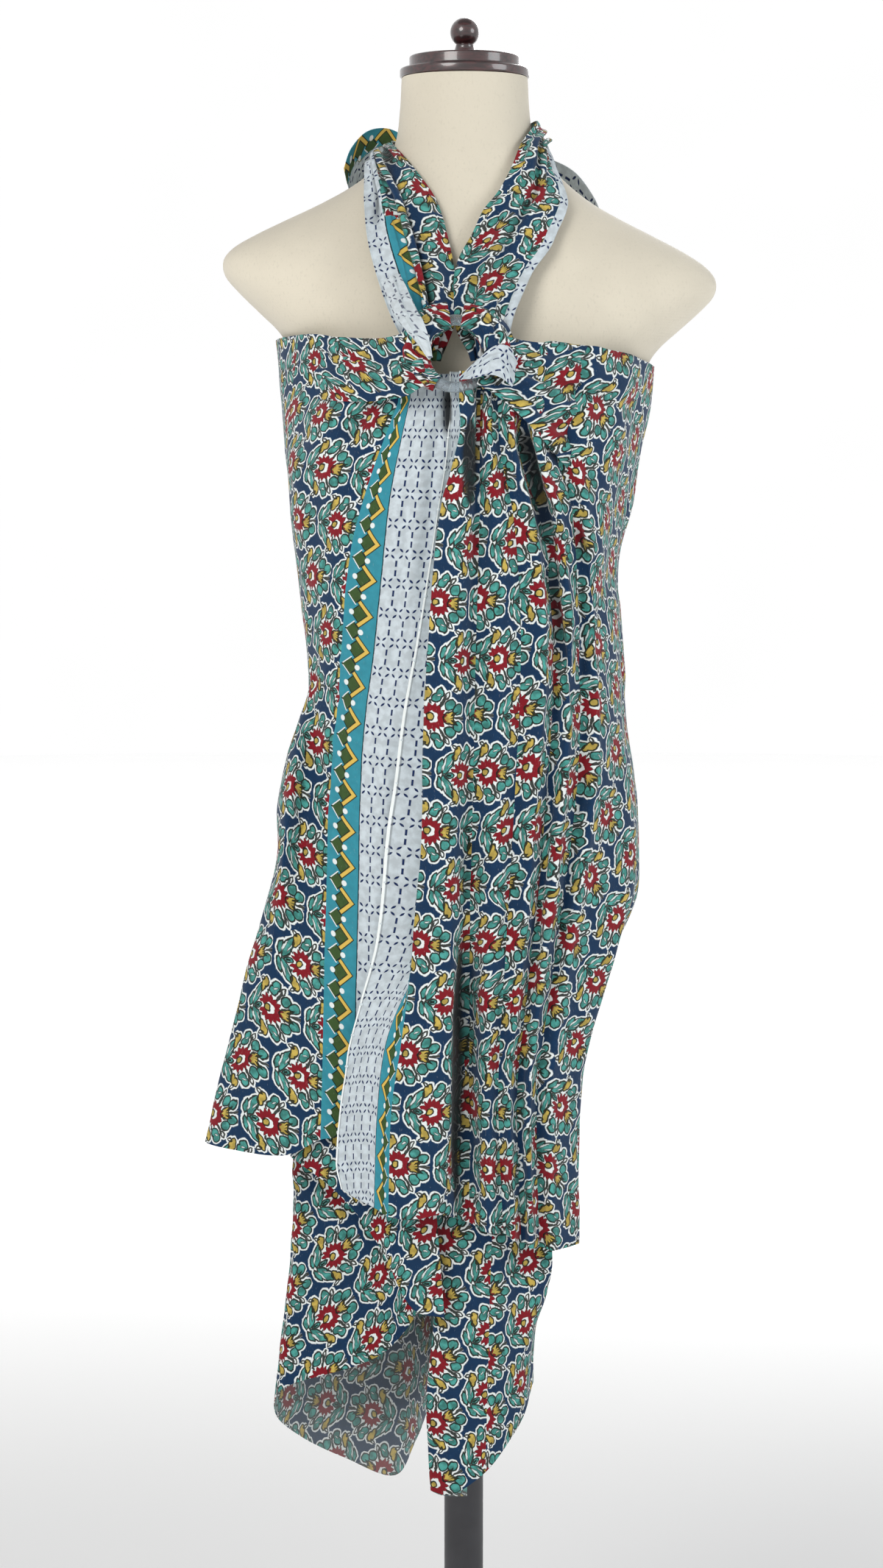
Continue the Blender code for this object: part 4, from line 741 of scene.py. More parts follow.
def flower_print(bench, place, dyes):
    """The colour of the flower print at a place in millimetres, and the uneven wash of its dyes."""
    wash = bench.noise(place, 0.16, 3.0)
    drift = bench.vectors('SUBTRACT', bench.noise(place, 0.17, 2.0, "Color"), (0.5, 0.5, 0.5))
    local = near_motif(bench, place, 1000.0 * dyes.spacing, 1000.0 * dyes.row_spacing)
    local = bench.vectors('MULTIPLY_ADD', drift, (DRIFT, DRIFT, 0.0), local)
    x, y = bench.parts(local)
    folded = bench.flat(x, abs(y))
    reach = bench.far(local)
    angle = bench.maths('ARCTAN2', y, x)

    def points(half_turns):
        return bench.maths('PINGPONG', angle * (half_turns / math.pi), 1.0)

    teal, yellow, curl, stem, streak = [
        bench.least([bench.leaf(folded, row) for row in rows])
        for rows in (TEAL_LEAVES, YELLOW_BUDS, CURLS, STEMS, WHITE_STREAKS)]
    red, heart = [reach - (radius + height * points(count)) for count, radius, height in (PETALS, HEART)]
    opening, pip, calyx = [bench.leaf(local, row) for row in (OPENING, PIP, CALYX)]
    stamens = (bench.fade(points(STAMENS), 0.72, 0.86)
               * bench.fade(reach, 14.2, 13.4) * bench.fade(reach, 9.8, 10.4))

    around = bench.least([teal, yellow, curl, stem + 1.2, reach - MOTIF_REACH])
    teal_tones = bench.tones(bench.fade(wash, 0.36, 0.66), dyes.leaf, 0.60, 1.28)
    golden = bench.tones(bench.fade(wash, 0.40, 0.64), dyes.bud, 0.66, 1.0)
    crimson = bench.tones(wash, dyes.flower, 0.72, 1.18)
    colour = bench.tones(wash, dyes.ground, 0.72, 1.30)
    for mask, dyed in (
            (bench.fade(around, HALO + 0.35, HALO - 0.35), dyes.white),
            (bench.inside(teal), teal_tones),
            (bench.inside(streak) * 0.85, dyes.white),
            (bench.inside(yellow), golden),
            (bench.inside(red, 0.3), crimson),
            (bench.most([bench.inside(opening, 0.3), bench.inside(heart, 0.3)]), dyes.white),
            (bench.inside(pip, 0.3), golden),
            (bench.inside(calyx), teal_tones)):
        colour = bench.over(mask, colour, dyed)
    drawn = bench.most([bench.fade(abs(edge), LINE + LINE_EDGE, LINE - LINE_EDGE)
                        for edge in (teal, yellow, curl, pip, stem)]
                       + [bench.fade(abs(edge), 0.42, 0.14) * 0.8 for edge in (red, streak)] + [stamens])
    return bench.over(drawn * 0.96, colour, dyes.outline), wash


# The border's diagonal dash, in millimetres from the middle of a star: centre, turn, half length, half width
STAR_DASH = (2.3, 2.5, 48.0, 1.8, 0.64)
COLUMN_PITCH = 10.1
STAR_PITCH = 23.2
CHEVRON_PITCH = 28.2
HEM_SHADOW_LINE = 2.3               # how far the painted shadow line of the hem, with its stitching, lies from the selvedge, mm
SQUARES = ((15.0, 0.0), (18.8, 1.0))    # a green square's middle across the band, and 1 where it is set over
SQUARE_REACH = 6.9


def folded_row(bench, value, pitch, shift=0.0):
    """Distance from the nearest multiple of the pitch."""
    moved = bench.maths('WRAP', value + (pitch / 2.0 + shift), pitch, 0.0)
    return moved - pitch / 2.0


def white_border(bench, place, dyes, wash):
    """The dashed white border: columns of upright dashes between rows of four-dash stars."""
    s, t = bench.parts(place)
    down = folded_row(bench, t, STAR_PITCH)
    upright = bench.most([abs(abs(down) - 3.7) - 2.25, abs(folded_row(bench, s, COLUMN_PITCH)) - 0.52])
    corner = bench.flat(abs(folded_row(bench, s, COLUMN_PITCH, COLUMN_PITCH / 2.0)),
                        abs(folded_row(bench, t, STAR_PITCH, STAR_PITCH / 2.0)))
    dash = bench.least([upright, bench.leaf(corner, STAR_DASH)])
    # The border's cloth in its shaded white, which is partly painted shade, with an uneven wash.
    cloth = bench.tones(bench.fade(wash, 0.36, 0.66), dyes.shaded_border_white, 0.84, 1.05)
    cloth = bench.over(bench.fade(dash, 0.34, -0.06), cloth, dyes.dash)
    # Painted shadow: a dark line beside the rolled hem stands for the hem's shadow and for its stitching.
    hem_shadow_and_stitch = bench.fade(abs(s - HEM_SHADOW_LINE), 0.75, 0.25) * 0.55
    cloth = bench.over(hem_shadow_and_stitch, cloth, shade(dyes.shaded_border_white, 0.30))
    # Painted highlight: the rolled hem at the selvedge is undyed white lifted above the cloth's own white,
    # as if it catches the light.
    return bench.over(bench.fade(s, 1.9, 1.5), cloth, shade(dyes.white, 1.15))


def zigzag_band(bench, place, dyes, wash):
    """The turquoise band between the white border and the flowers, with its chevrons, diamonds and dots."""
    s, t = bench.parts(place)
    across = s - 1000.0 * dyes.white_width
    beside = abs(folded_row(bench, t, CHEVRON_PITCH))
    between_them = CHEVRON_PITCH / 2.0 - beside
    chevron = bench.most([abs(5.7 - across + beside) - 2.4, across + beside - 25.2]) * 0.7
    inner, outer = [(abs(across - middle) + (between_them if set_over else beside) - SQUARE_REACH) * 0.7
                    for middle, set_over in SQUARES]
    dots = bench.least([bench.far(bench.flat(across - 12.4, between_them)),
                        bench.far(bench.flat(across - 21.2, beside))]) - 2.15
    trim = bench.most([abs(across - 25.6 + between_them) * 0.7 - 0.35, abs(between_them - 4.2) - 3.4])
    colour = bench.tones(wash, dyes.band, 0.74, 1.22)
    green = bench.tones(wash, dyes.diamond, 0.70, 1.50)
    colour = bench.over(bench.inside(bench.least([inner, outer]), 0.3), colour, green)
    colour = bench.over(bench.inside(chevron, 0.3), colour, dyes.chevron)
    drawn = bench.most([bench.fade(abs(edge), 0.58, 0.22) for edge in (chevron, inner, outer)]
                       + [bench.fade(abs(across - 0.3), 0.62, 0.28)])
    colour = bench.over(drawn * 0.94, colour, shade(dyes.outline, 0.75))
    pale = bench.most([bench.inside(dots, 0.3), bench.fade(trim, 0.3, -0.2)])
    return bench.over(pale, colour, dyes.white)


def printed_cotton(name, bordered, reverse=0.0):
    """Block-printed cotton. It reads the piece's own maps in metres: print, and edge from the selvedge.

    Reverse is how much paler the back of the print is. The layer "hollow" says where shade is painted into
    the colour.
    """
    dyes = bpy.context.scene.sarong_print
    bench = Bench(name)

    def mapped(kind):
        return bench.vectors('MULTIPLY', bench.node("ShaderNodeUVMap", {"uv_map": kind}, {}),
                             (1000.0, 1000.0, 0.0))

    colour, wash = flower_print(bench, mapped("print"), dyes)
    if bordered:
        strip = mapped("edge")
        s, _ = bench.parts(strip)
        white_end = 1000.0 * dyes.white_width
        band_end = white_end + 1000.0 * dyes.band_width
        inner = bench.over(bench.fade(s, white_end - 0.15, white_end + 0.15),
                           white_border(bench, strip, dyes, wash), zigzag_band(bench, strip, dyes, wash))
        colour = bench.over(bench.fade(s, band_end - 0.15, band_end + 0.15), inner, colour)
    if reverse > 0.0:
        colour = bench.over(reverse, colour, dyes.white)
    # Painted shade: a near-black colour laid over the print where the hollow layer marks creases, pleats and
    # gaps that sink into shade.
    hollow = bench.node("ShaderNodeAttribute", {"attribute_name": "hollow"}, {}, "Fac")
    colour = bench.over(hollow * 0.95, colour, paint(8, 14, 18))
    slub = bench.noise(bench.solid((1.0, 1.0, 0.35)), 900.0, 2.0)
    colour = bench.over(bench.fade(slub, 0.62, 0.80) * 0.16, colour, shade(dyes.white, 0.55))
    crumple = bench.noise(bench.solid(), 95.0, 4.0)
    bench.fixed({"Sheen Weight": 0.12, "Sheen Roughness": 0.5, "Specular IOR Level": 0.22})
    return bench.finish(colour, 0.80 + 0.12 * wash,
                        bench.bump(crumple, 0.30, 0.0016, bench.bump(slub, 0.35, 0.00025)))


def form_jersey():
    """The cream jersey that covers the form: fine ribs of the knit and soft cloudy shade."""
    cover = bpy.context.scene.sarong_cloth.cover
    bench = Bench("cream jersey")
    cloud = bench.noise(bench.solid(), 9.0, 4.0)
    grain = bench.noise(bench.solid((1.0, 1.0, 0.5)), 620.0, 2.0)
    ribs = bench.node("ShaderNodeTexWave", {"bands_direction": 'Z'},
                      {"Vector": bench.solid(), "Scale": 150.0, "Distortion": 1.2, "Detail": 2.0}, "Fac")
    colour = bench.tones(bench.fade(cloud, 0.35, 0.68), cover, 0.90, 1.0)
    colour = bench.over(bench.fade(grain, 0.55, 0.75) * 0.30, colour, shade(cover, 0.74))
    bench.fixed({"Sheen Weight": 0.2, "Specular IOR Level": 0.2})
    knit = bench.bump(ribs, 0.12, 0.0002, bench.bump(grain, 0.4, 0.0003))
    return bench.finish(colour, 0.82 + 0.1 * grain, knit)


def mahogany():
    """Polished dark mahogany with fine straight grain under a clear coat."""
    bench = Bench("polished mahogany")
    streaks = bench.noise(bench.solid((1.0, 7.0, 7.0)), 60.0, 5.0)
    colour = bench.tones(bench.fade(streaks, 0.35, 0.65), bpy.context.scene.sarong_cloth.cap, 0.55, 1.9)
    bench.fixed({"Coat Weight": 0.8, "Coat Roughness": 0.08})
    return bench.finish(colour, 0.24 + 0.14 * streaks, bench.bump(streaks, 0.12, 0.0002))


def stand_metal():
    """Dark powder-coated steel of the pole and base."""
    bench = Bench("dark powder coat")
    orange_peel = bench.noise(bench.solid(), 700.0, 2.0)
    worn = bench.noise(bench.solid(), 14.0, 4.0)
    colour = bench.over(bench.fade(worn, 0.40, 0.70), paint(40, 40, 44), paint(54, 54, 58))
    return bench.finish(colour, 0.42 + 0.14 * worn, bench.bump(orange_peel, 0.25, 0.0002))


def clear_acrylic():
    """Clear acrylic with the faintest cool tint and fine scuffs."""
    bench = Bench("clear acrylic")
    scuffs = bench.noise(bench.solid(), 260.0, 3.0)
    bench.fixed({"Transmission Weight": 0.76, "IOR": 1.49, "Specular IOR Level": 0.7})
    return bench.finish((*paint(196, 207, 214), 1.0), 0.02 + 0.06 * scuffs, bench.bump(scuffs, 0.1, 0.0002))


def thread_white():
    """Twisted white cotton thread."""
    bench = Bench("white thread")
    twist = bench.noise(bench.solid(), 900.0, 2.0)
    colour = bench.over(twist, paint(196, 210, 216), paint(240, 246, 248))
    return bench.finish(colour, 0.75 + 0.1 * twist, bench.bump(twist, 0.4, 0.0003))


def once(name, maker, *facts):
    """A material by name, made the first time that it is asked for."""
    made = bpy.data.materials.get(name)
    return made if made is not None else maker(*facts)


def cotton(bordered):
    """The outer and the reverse face of the cloth."""
    kind = "bordered cotton" if bordered else "flowered cotton"
    return (once(kind, printed_cotton, kind, bordered),
            once(kind + ", reverse", printed_cotton, kind + ", reverse", bordered, 0.15))


# Print lie of each stretch of the hanging cloth: from and to a fold line, the line that it is measured from
# and that line's own distance from the selvedge, the turn of the print in degrees, and where one flower
# sits (x, z).
LEFT_LIE = (
    (0.0, 7.6, 3.0, 0.077, 0.0, -0.1170, 0.9690),
    (7.6, 9.5, 9.0, 0.300, 14.0, -0.1000, 0.8000),
    (9.5, 12.0, 11.0, 0.420, 30.0, -0.1000, 0.6000),
)
BACK_LIE = (
    (12.0, 17.5, 14.0, 0.560, 18.0, -0.0800, 0.9000),
    (17.5, 22.0, 20.0, 0.900, -12.0, 0.0600, 0.9000),
)
RIGHT_LIE = (
    (33.0, 40.0, 36.0, 0.077, 0.0, -0.0110, 1.0360),
    (31.0, 33.0, 36.0, 0.077, -5.0, 0.0070, 1.0820),
    (29.0, 31.0, 30.0, 0.230, -14.0, 0.0230, 0.8200),
    (27.0, 29.0, 28.0, 0.330, -38.0, 0.0560, 1.0700),
    (22.0, 27.0, 26.0, 0.430, -44.0, 0.0850, 0.9500),
)
# Pleats of the right panel: fold line, half width counted in fold lines, height in mm
PLEATS = (
    (25.0, 0.30, 1.2),
    (26.0, 0.22, 2.4),
    (26.75, 0.25, -2.2),
    (28.0, 0.20, 2.6),
    (28.8, 0.22, -2.6),
    (30.0, 0.22, 2.0),
    (30.9, 0.25, -1.8),
    (32.2, 0.30, 1.0),
    (33.0, 0.30, -2.4),
    (34.2, 0.35, 0.8),
    (36.1, 0.25, 1.0),
)

# The border's place on the fold lines: fold line, distance from the selvedge
LEFT_MARKS = ((0.0, 0.0), (1.0, 0.025), (2.0, 0.050), (3.0, 0.077))
RIGHT_MARKS = ((40.0, 0.0), (39.0, 0.022), (38.0, 0.043), (37.0, 0.060), (36.0, 0.0775))
MIDDLE_LIE = ((0.0, 4.0, 0.0, 0.300, 0.0, -0.1230, 0.6240),)
LOW_LIE = ((0.0, 2.0, 1.0, 0.300, 30.0, 0.0500, 0.5000), (2.0, 6.0, 3.0, 0.300, 28.0, 0.0060, 0.5500))

# Creases on the front, listed one by one, in mm: from x and z to x and z, half width, and height of the
# ridge
CREASES = {
    "left_panel": metres((
        (-55, 1252, -112, 1243, 5, -5.5), (-50, 1262, -120, 1268, 7, 3.2),
        (-62, 1240, -100, 1200, 7, -3.4), (-60, 1226, -86, 1186, 5, 2.4), (-128, 1235, -98, 1150, 8, 1.8),
        (-132, 1160, -102, 1098, 7, -1.5), (-124, 1045, -88, 1030, 4.5, 1.6),
        (-124, 1018, -92, 1000, 4, -1.8), (-120, 1004, -98, 962, 4.5, 1.7),
        (-130, 978, -106, 930, 5, -1.6), (-118, 930, -128, 780, 8, 1.6), (-145, 900, -172, 720, 9, -1.8),
        (-30, 1235, -46, 1060, 4, 2.2), (-20, 1235, -34, 1080, 3.5, -2.2),
        (-12.5, 1246, -12.5, 1208, 5, -7), (-40, 1225, -60, 1000, 3.5, -2), (-60, 990, -74, 800, 4.5, 1.6),
        (-52, 980, -62, 760, 4, -2), (-78, 900, -82, 700, 4, -1.1), (-86, 1010, -100, 820, 5, 1.1),
        (-145, 620, -62, 545, 6, 2.2), (-140, 575, -72, 500, 7, -1.6), (-110, 640, -120, 480, 6, 1.3),
    )),
    "right_panel": metres((
        (3, 1212, 3.4, 1163, 4.2, -3), (-12.5, 1240, -12.5, 1214, 2.2, -8), (-3.5, 800, -6, 620, 4.5, -4),
        (42, 1215, 64, 1120, 4, -4.5), (62, 1120, 83, 1000, 3.5, -3.6), (85, 1150, 106, 1060, 4, -3.6),
        (50, 1262, 140, 1248, 8, 3.6), (52, 1250, 136, 1228, 6, -3.6), (54, 1240, 128, 1190, 7, 3),
        (52, 1226, 120, 1150, 6, -2.8), (46, 1222, 104, 1110, 5, 2.2), (42, 1212, 86, 1090, 4.5, -1.8),
        (118, 1100, 92, 1020, 7, -1.6), (124, 1020, 98, 940, 7, 1.8), (128, 952, 100, 860, 8, -1.8),
        (110, 880, 92, 720, 7, 1.5), (72, 930, 60, 700, 5, 1.3), (30, 1020, 26, 760, 4, 1.1),
        (42, 900, 36, 640, 5, -1.2), (-20, 1130, -34, 920, 3.5, 1), (-34, 900, -52, 700, 4, -1.1),
        (-72, 760, -86, 650, 5, 1.3), (-60, 770, -100, 700, 4, -1.2),
    )),
    "lower_fold_front": metres((
        (30, 640, 24, 420, 6, 1.5), (50, 600, 40, 460, 5, -1.5), (-6, 600, -12, 400, 4, 1),
    )),
    "middle_fold_front": metres((
        (-124, 700, -90, 600, 5, 1.2), (-70, 650, -40, 540, 5, -1.2),
    )),
}

# Gaps between folds where the cloth's colour is painted dark as shade, in mm: from x and z to x and z, half
# width
SHADE_PAINTED_GAPS = {
    "right_panel": metres(((3.2, 1220, 3.6, 1154, 7), (-3, 812, -6.2, 606, 5.6))),
}

# The creases of the back, which the photograph hides: drawn towards the waist and hanging from the seat
BACK_CREASES = metres((
    (-110, 1240, -20, 1215, 7, 2.5), (20, 1228, 120, 1248, 8, 2.4), (-100, 1060, 10, 1030, 6, 3),
    (0, 1018, 104, 1046, 6, -2.8), (-80, 1010, 60, 998, 5, 2.7), (-60, 985, 90, 1000, 5, -2.4),
    (-72, 960, -100, 760, 9, 3.3), (-28, 930, -40, 640, 8, -3.3), (24, 940, 10, 600, 8, 3.6),
    (64, 930, 40, 560, 9, -3.3), (96, 900, 58, 620, 8, 3), (-110, 800, -90, 520, 9, -3),
    (-80, 700, -60, 440, 8, 3),
))


def beside_line(x, z, stroke):
    """How far a place is from a stroke's line, and how far along the stroke it is, from 0 to 1."""
    x0, z0, x1, z1 = stroke[:4]
    dx, dz = x1 - x0, z1 - z0
    reach = math.hypot(dx, dz)
    return abs((x - x0) * dz - (z - z0) * dx) / reach, ((x - x0) * dx + (z - z0) * dz) / reach ** 2


def creased(strokes, x, z):
    """Height of the hand-placed creases at a place. A crease fades out towards both its ends."""
    height = 0.0
    for stroke in strokes:
        off, t = beside_line(x, z, stroke)
        half_width, ridge = stroke[4:]
        if -0.12 <= t <= 1.12 and off < 3.0 * half_width:
            full = smooth_step(-0.12, 0.22, t) * (1.0 - smooth_step(0.78, 1.12, t))
            height += ridge * full * math.exp(-(off / half_width) ** 2)
    return height


def gap_shade(name, spot):
    """How full the painted shade of the gaps is at a place: each gap is a sliver, widest at its middle."""
    shaded = 0.0
    for gap in SHADE_PAINTED_GAPS.get(name, ()):
        off, t = beside_line(spot.x, spot.z, gap)
        if 0.0 < t < 1.0 and spot.y < 0.0:
            half_width = gap[4] * math.sin(math.pi * t) ** 0.5
            shaded = max(shaded, 1.0 - smooth_step(0.55, 1.25, off / half_width))
    return shaded


def swell(spot, height):
    """The slow unevenness of hung cloth, from soft noise that is the same in each run."""
    return height * (noise.noise(spot * 17.0) + 0.5 * noise.noise(spot * 43.0 + Vector((3.1, 0.7, 5.2))))


FULL_SHADE_DEPTH = 0.0075        # depth of a hollow at which its painted shade is full


def steps(count, edge):
    """Places of the grid lines from 0 to 1: even, with one extra close line at each end for the hem."""
    inner = count - 2
    return [0.0] + [edge + (1.0 - 2.0 * edge) * n / inner for n in range(inner + 1)] + [1.0]


def cloth_shell(name, across, down, place, relief=None, lie=None, edges=None, bordered=True, flip=False,
                painted_shade_depth=FULL_SHADE_DEPTH):
    """A thin shell of cloth: a grid laid out by place(u, v), raised by relief, with its two maps of metres.

    lie gives each column's print turn and flower; edges gives the distance from the selvedge.
    """
    sizes = bpy.context.scene.sarong_cloth
    bm = bmesh.new()
    hollows = bm.verts.layers.float.new("hollow")
    bmesh.ops.create_grid(bm, x_segments=across, y_segments=down, size=0.5)
    places_u, places_v = steps(across, 0.0016), steps(down, 0.0012)
    order = {}
    for spot in bm.verts:
        i, j = round((spot.co.x + 0.5) * across), round((0.5 - spot.co.y) * down)
        order[spot] = (i, j)
        spot.co = place(places_u[i], places_v[j])
    bm.verts.ensure_lookup_table()
    grid = {key: spot.co.copy() for spot, key in order.items()}
    if flip:
        bmesh.ops.reverse_faces(bm, faces=bm.faces)
    bm.normal_update()
    if relief is not None:
        raised = [(spot, spot.normal.copy(),
                   relief(spot.co, places_u[order[spot][0]], places_v[order[spot][1]]))
                  for spot in bm.verts]
        for spot, normal, height in raised:
            # Painted shade: the hollow layer grows with how deep the cloth sinks here and in the shaded
            # gaps, and the material darkens the colour by it.
            spot[hollows] = max(smooth_step(0.16 * painted_shade_depth, painted_shade_depth, -height), gap_shade(name, spot.co))
            spot.co += normal * height
    map_cloth(bm, order, grid, places_u, across, down, lie, edges)
    made = finished(name, bm, cotton(bordered))
    wall = made.modifiers.new("Thickness", 'SOLIDIFY')
    wall.thickness = sizes.thickness
    wall.offset = -1.0
    wall.use_even_offset = False
    wall.material_offset = 1
    return made


def map_cloth(bm, order, grid, places_u, across, down, lie, edges):
    """Lays the print and edge maps: metres across from the lie's own line, and down from the top edge."""
    run = {}
    fall = {}
    for j in range(down + 1):
        run[0, j] = 0.0
        for i in range(1, across + 1):
            run[i, j] = run[i - 1, j] + (grid[i, j] - grid[i - 1, j]).length
    for i in range(across + 1):
        fall[i, 0] = 1.290 - grid[i, 0].z
        for j in range(1, down + 1):
            fall[i, j] = fall[i, j - 1] + (grid[i, j] - grid[i, j - 1]).length
    prints = bm.loops.layers.uv.new("print")
    selvedges = bm.loops.layers.uv.new("edge")
    strips = [lie(places_u[i] * 0.5 + places_u[i + 1] * 0.5) for i in range(across)]
    origins = {}
    for face in bm.faces:
        keys = [order[spot] for spot in face.verts]
        strip = strips[min(key[0] for key in keys)]
        anchor, turn, flower, sign = strip["anchor"], strip["turn"], strip["flower"], strip["sign"]
        column = min(range(across + 1), key=lambda i: abs(places_u[i] - anchor))
        cosine, sine = math.cos(turn), math.sin(turn)

        def cloth_place(key):
            x, y = sign * (run[key] - run[column, key[1]]), -fall[key]
            return x * cosine + y * sine, y * cosine - x * sine

        if strip["name"] not in origins:
            near = min((key for key in grid if strip["low"] <= places_u[key[0]] <= strip["high"]),
                       key=lambda key: math.hypot(grid[key].x - flower[0], grid[key].z - flower[1]))
            origins[strip["name"]] = cloth_place(near)
        origin = origins[strip["name"]]
        for loop in face.loops:
            key = order[loop.vert]
            x, y = cloth_place(key)
            loop[prints].uv = (x - origin[0], y - origin[1])
            loop[selvedges].uv = edges(
                places_u[key[0]], lambda u: run[round(1 + u * (across - 2)), key[1]], fall[key])


def finished(name, bm, materials):
    """Turns a bmesh into a smooth named object that rides on the part's one body."""
    mesh = bpy.data.meshes.new(name)
    bm.to_mesh(mesh)
    bm.free()
    for mat in materials:
        mesh.materials.append(mat)
    mesh.shade_smooth()
    made = bpy.data.objects.new(name, mesh)
    bpy.context.scene.collection.objects.link(made)
    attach(made, "root")
    return made


def lies_of(rows, low, high, sign):
    """Gives the strip of the print at u for a stretch of fold lines from low to high."""
    def strip(u):
        k = low + (high - low) * u
        for n, (start, end, anchor, start_at, turn, x, z) in enumerate(rows):
            if start <= k <= end:
                break
        return {"name": n, "turn": math.radians(turn), "flower": (x, z), "sign": sign,
                "anchor": (anchor - low) / (high - low),
                "low": (start - low) / (high - low), "high": (end - low) / (high - low)}
    return strip


def plain_lie(turn, flower, sign=1.0):
    """One lie of the print for a whole piece."""
    return lambda u: {"name": 0, "anchor": 0.0, "turn": math.radians(turn), "flower": flower, "sign": sign,
                      "low": 0.0, "high": 1.0}


def no_edge(u, run_at, fall):
    """No border on this piece: its selvedge is far away."""
    return 1.0, fall


def border_edge(ends, marks, inwards):
    """Gives the distance from the selvedge: by the marked fold lines, and past them along the cloth."""
    low, high = ends

    def edge(u, run_at, fall):
        k = low + (high - low) * u
        far = marks[-1]
        if (k - far[0]) * inwards <= 0.0:
            return between(marks, k)[0], fall
        return far[1] + inwards * (run_at(u) - run_at((far[0] - low) / (high - low))), fall
    return edge


def raised_point(lines, k, v):
    """A point of the hanging cloth, whose top runs a little further up behind the ring than its solid's."""
    if lines is FOLD_LINES:
        rise = 0.030 * (1.0 - smooth_step(2.6, 3.6, k) + smooth_step(31.0, 33.0, k))
        v = v * (1.0 + rise) - rise
    return sheet_point(lines, k, v)


def pleat_height(k, z):
    """Sharpens the right panel's pleats: crisp rims on its folds, and deeper hollows between them."""
    fade = 1.0 - 0.35 * (1.0 - smooth_step(0.75, 0.95, z))
    height = 0.0
    for middle, half, ridge in PLEATS:
        height += ridge * math.exp(-((k - middle) / half) ** 2)
    return 0.001 * height * fade


def hanging_panel(name, lines, ends, across, down, lie_rows, sign, edges, bordered, flip, nodes):
    """A stretch of the hanging cloth with its creases, in place of its solids."""
    sizes = bpy.context.scene.sarong_cloth
    low, high = ends
    front = CREASES.get(name, ())
    low_creases = [row for row in front if row[1] < 0.66]

    def relief(spot, u, v):
        strokes = front if spot.y < 0.0 else BACK_CREASES
        if name == "left_panel" and low + (high - low) * u > 7.5:
            strokes = low_creases if spot.y < 0.0 else BACK_CREASES
        height = creased(strokes, spot.x, spot.z)
        if name == "right_panel":
            k = low + (high - low) * u
            height += pleat_height(k, spot.z) + 0.0022 * math.exp(-((high - k) / 0.22) ** 2)
        return height * sizes.creases + swell(spot, sizes.unevenness)

    made = cloth_shell(name, across, down,
                       lambda u, v: raised_point(lines, low + (high - low) * u, v), relief,
                       lies_of(lie_rows, low, high, sign), edges, bordered, flip)
    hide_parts(*nodes)
    return made


class SARONG_OT_panels(bpy.types.Operator):
    """Hangs the wrapped cloth: the left panel, the back and the right panel"""
    bl_idname = "sarong.panels"
    bl_label = "Hanging cloth"

    def execute(self, context):
        side, hip, last = line("left low turn"), line("right hip"), len(FOLD_LINES) - 1.0
        hanging_panel("left_panel", FOLD_LINES, (0.0, side), 132, 176, LEFT_LIE, -1.0,
                      border_edge((0.0, side), LEFT_MARKS, 1.0), True, True,
                      ("left_front", "left_side_fold"))
        hanging_panel("back_panel", FOLD_LINES, (side, hip), 90, 150, BACK_LIE, -1.0, no_edge, False, True,
                      ("back_wrap",))
        hanging_panel("right_panel", FOLD_LINES, (hip, last), 150, 164, RIGHT_LIE, -1.0,
                      border_edge((hip, last), RIGHT_MARKS, -1.0), True, True,
                      ("right_side_fold", "right_front"))
        hanging_panel("middle_fold_front", MIDDLE_LINES, (0.0, 4.0), 48, 60, MIDDLE_LIE, 1.0,
                      no_edge, False, False, ("middle_fold",))
        hanging_panel("lower_fold_front", LOW_FOLD_LINES, (0.0, 6.0), 72, 90, LOW_LIE, -1.0,
                      no_edge, False, True, ("lower_right_fold",))
        return {'FINISHED'}


def on_panel(x, z, lift):
    """A point that stands off the draped front by lift."""
    return (x, drape_front(x, z) - lift, z)


# The dressed turns reach further round the ring than the solids, down to its lower arc: the name, the arc in
# degrees and the thickness of the roll
BUNDLES = (
    ("left_turn", 100.0, 238.0, 0.0172),
    ("right_turn", 80.0, -52.0, 0.0168),
)

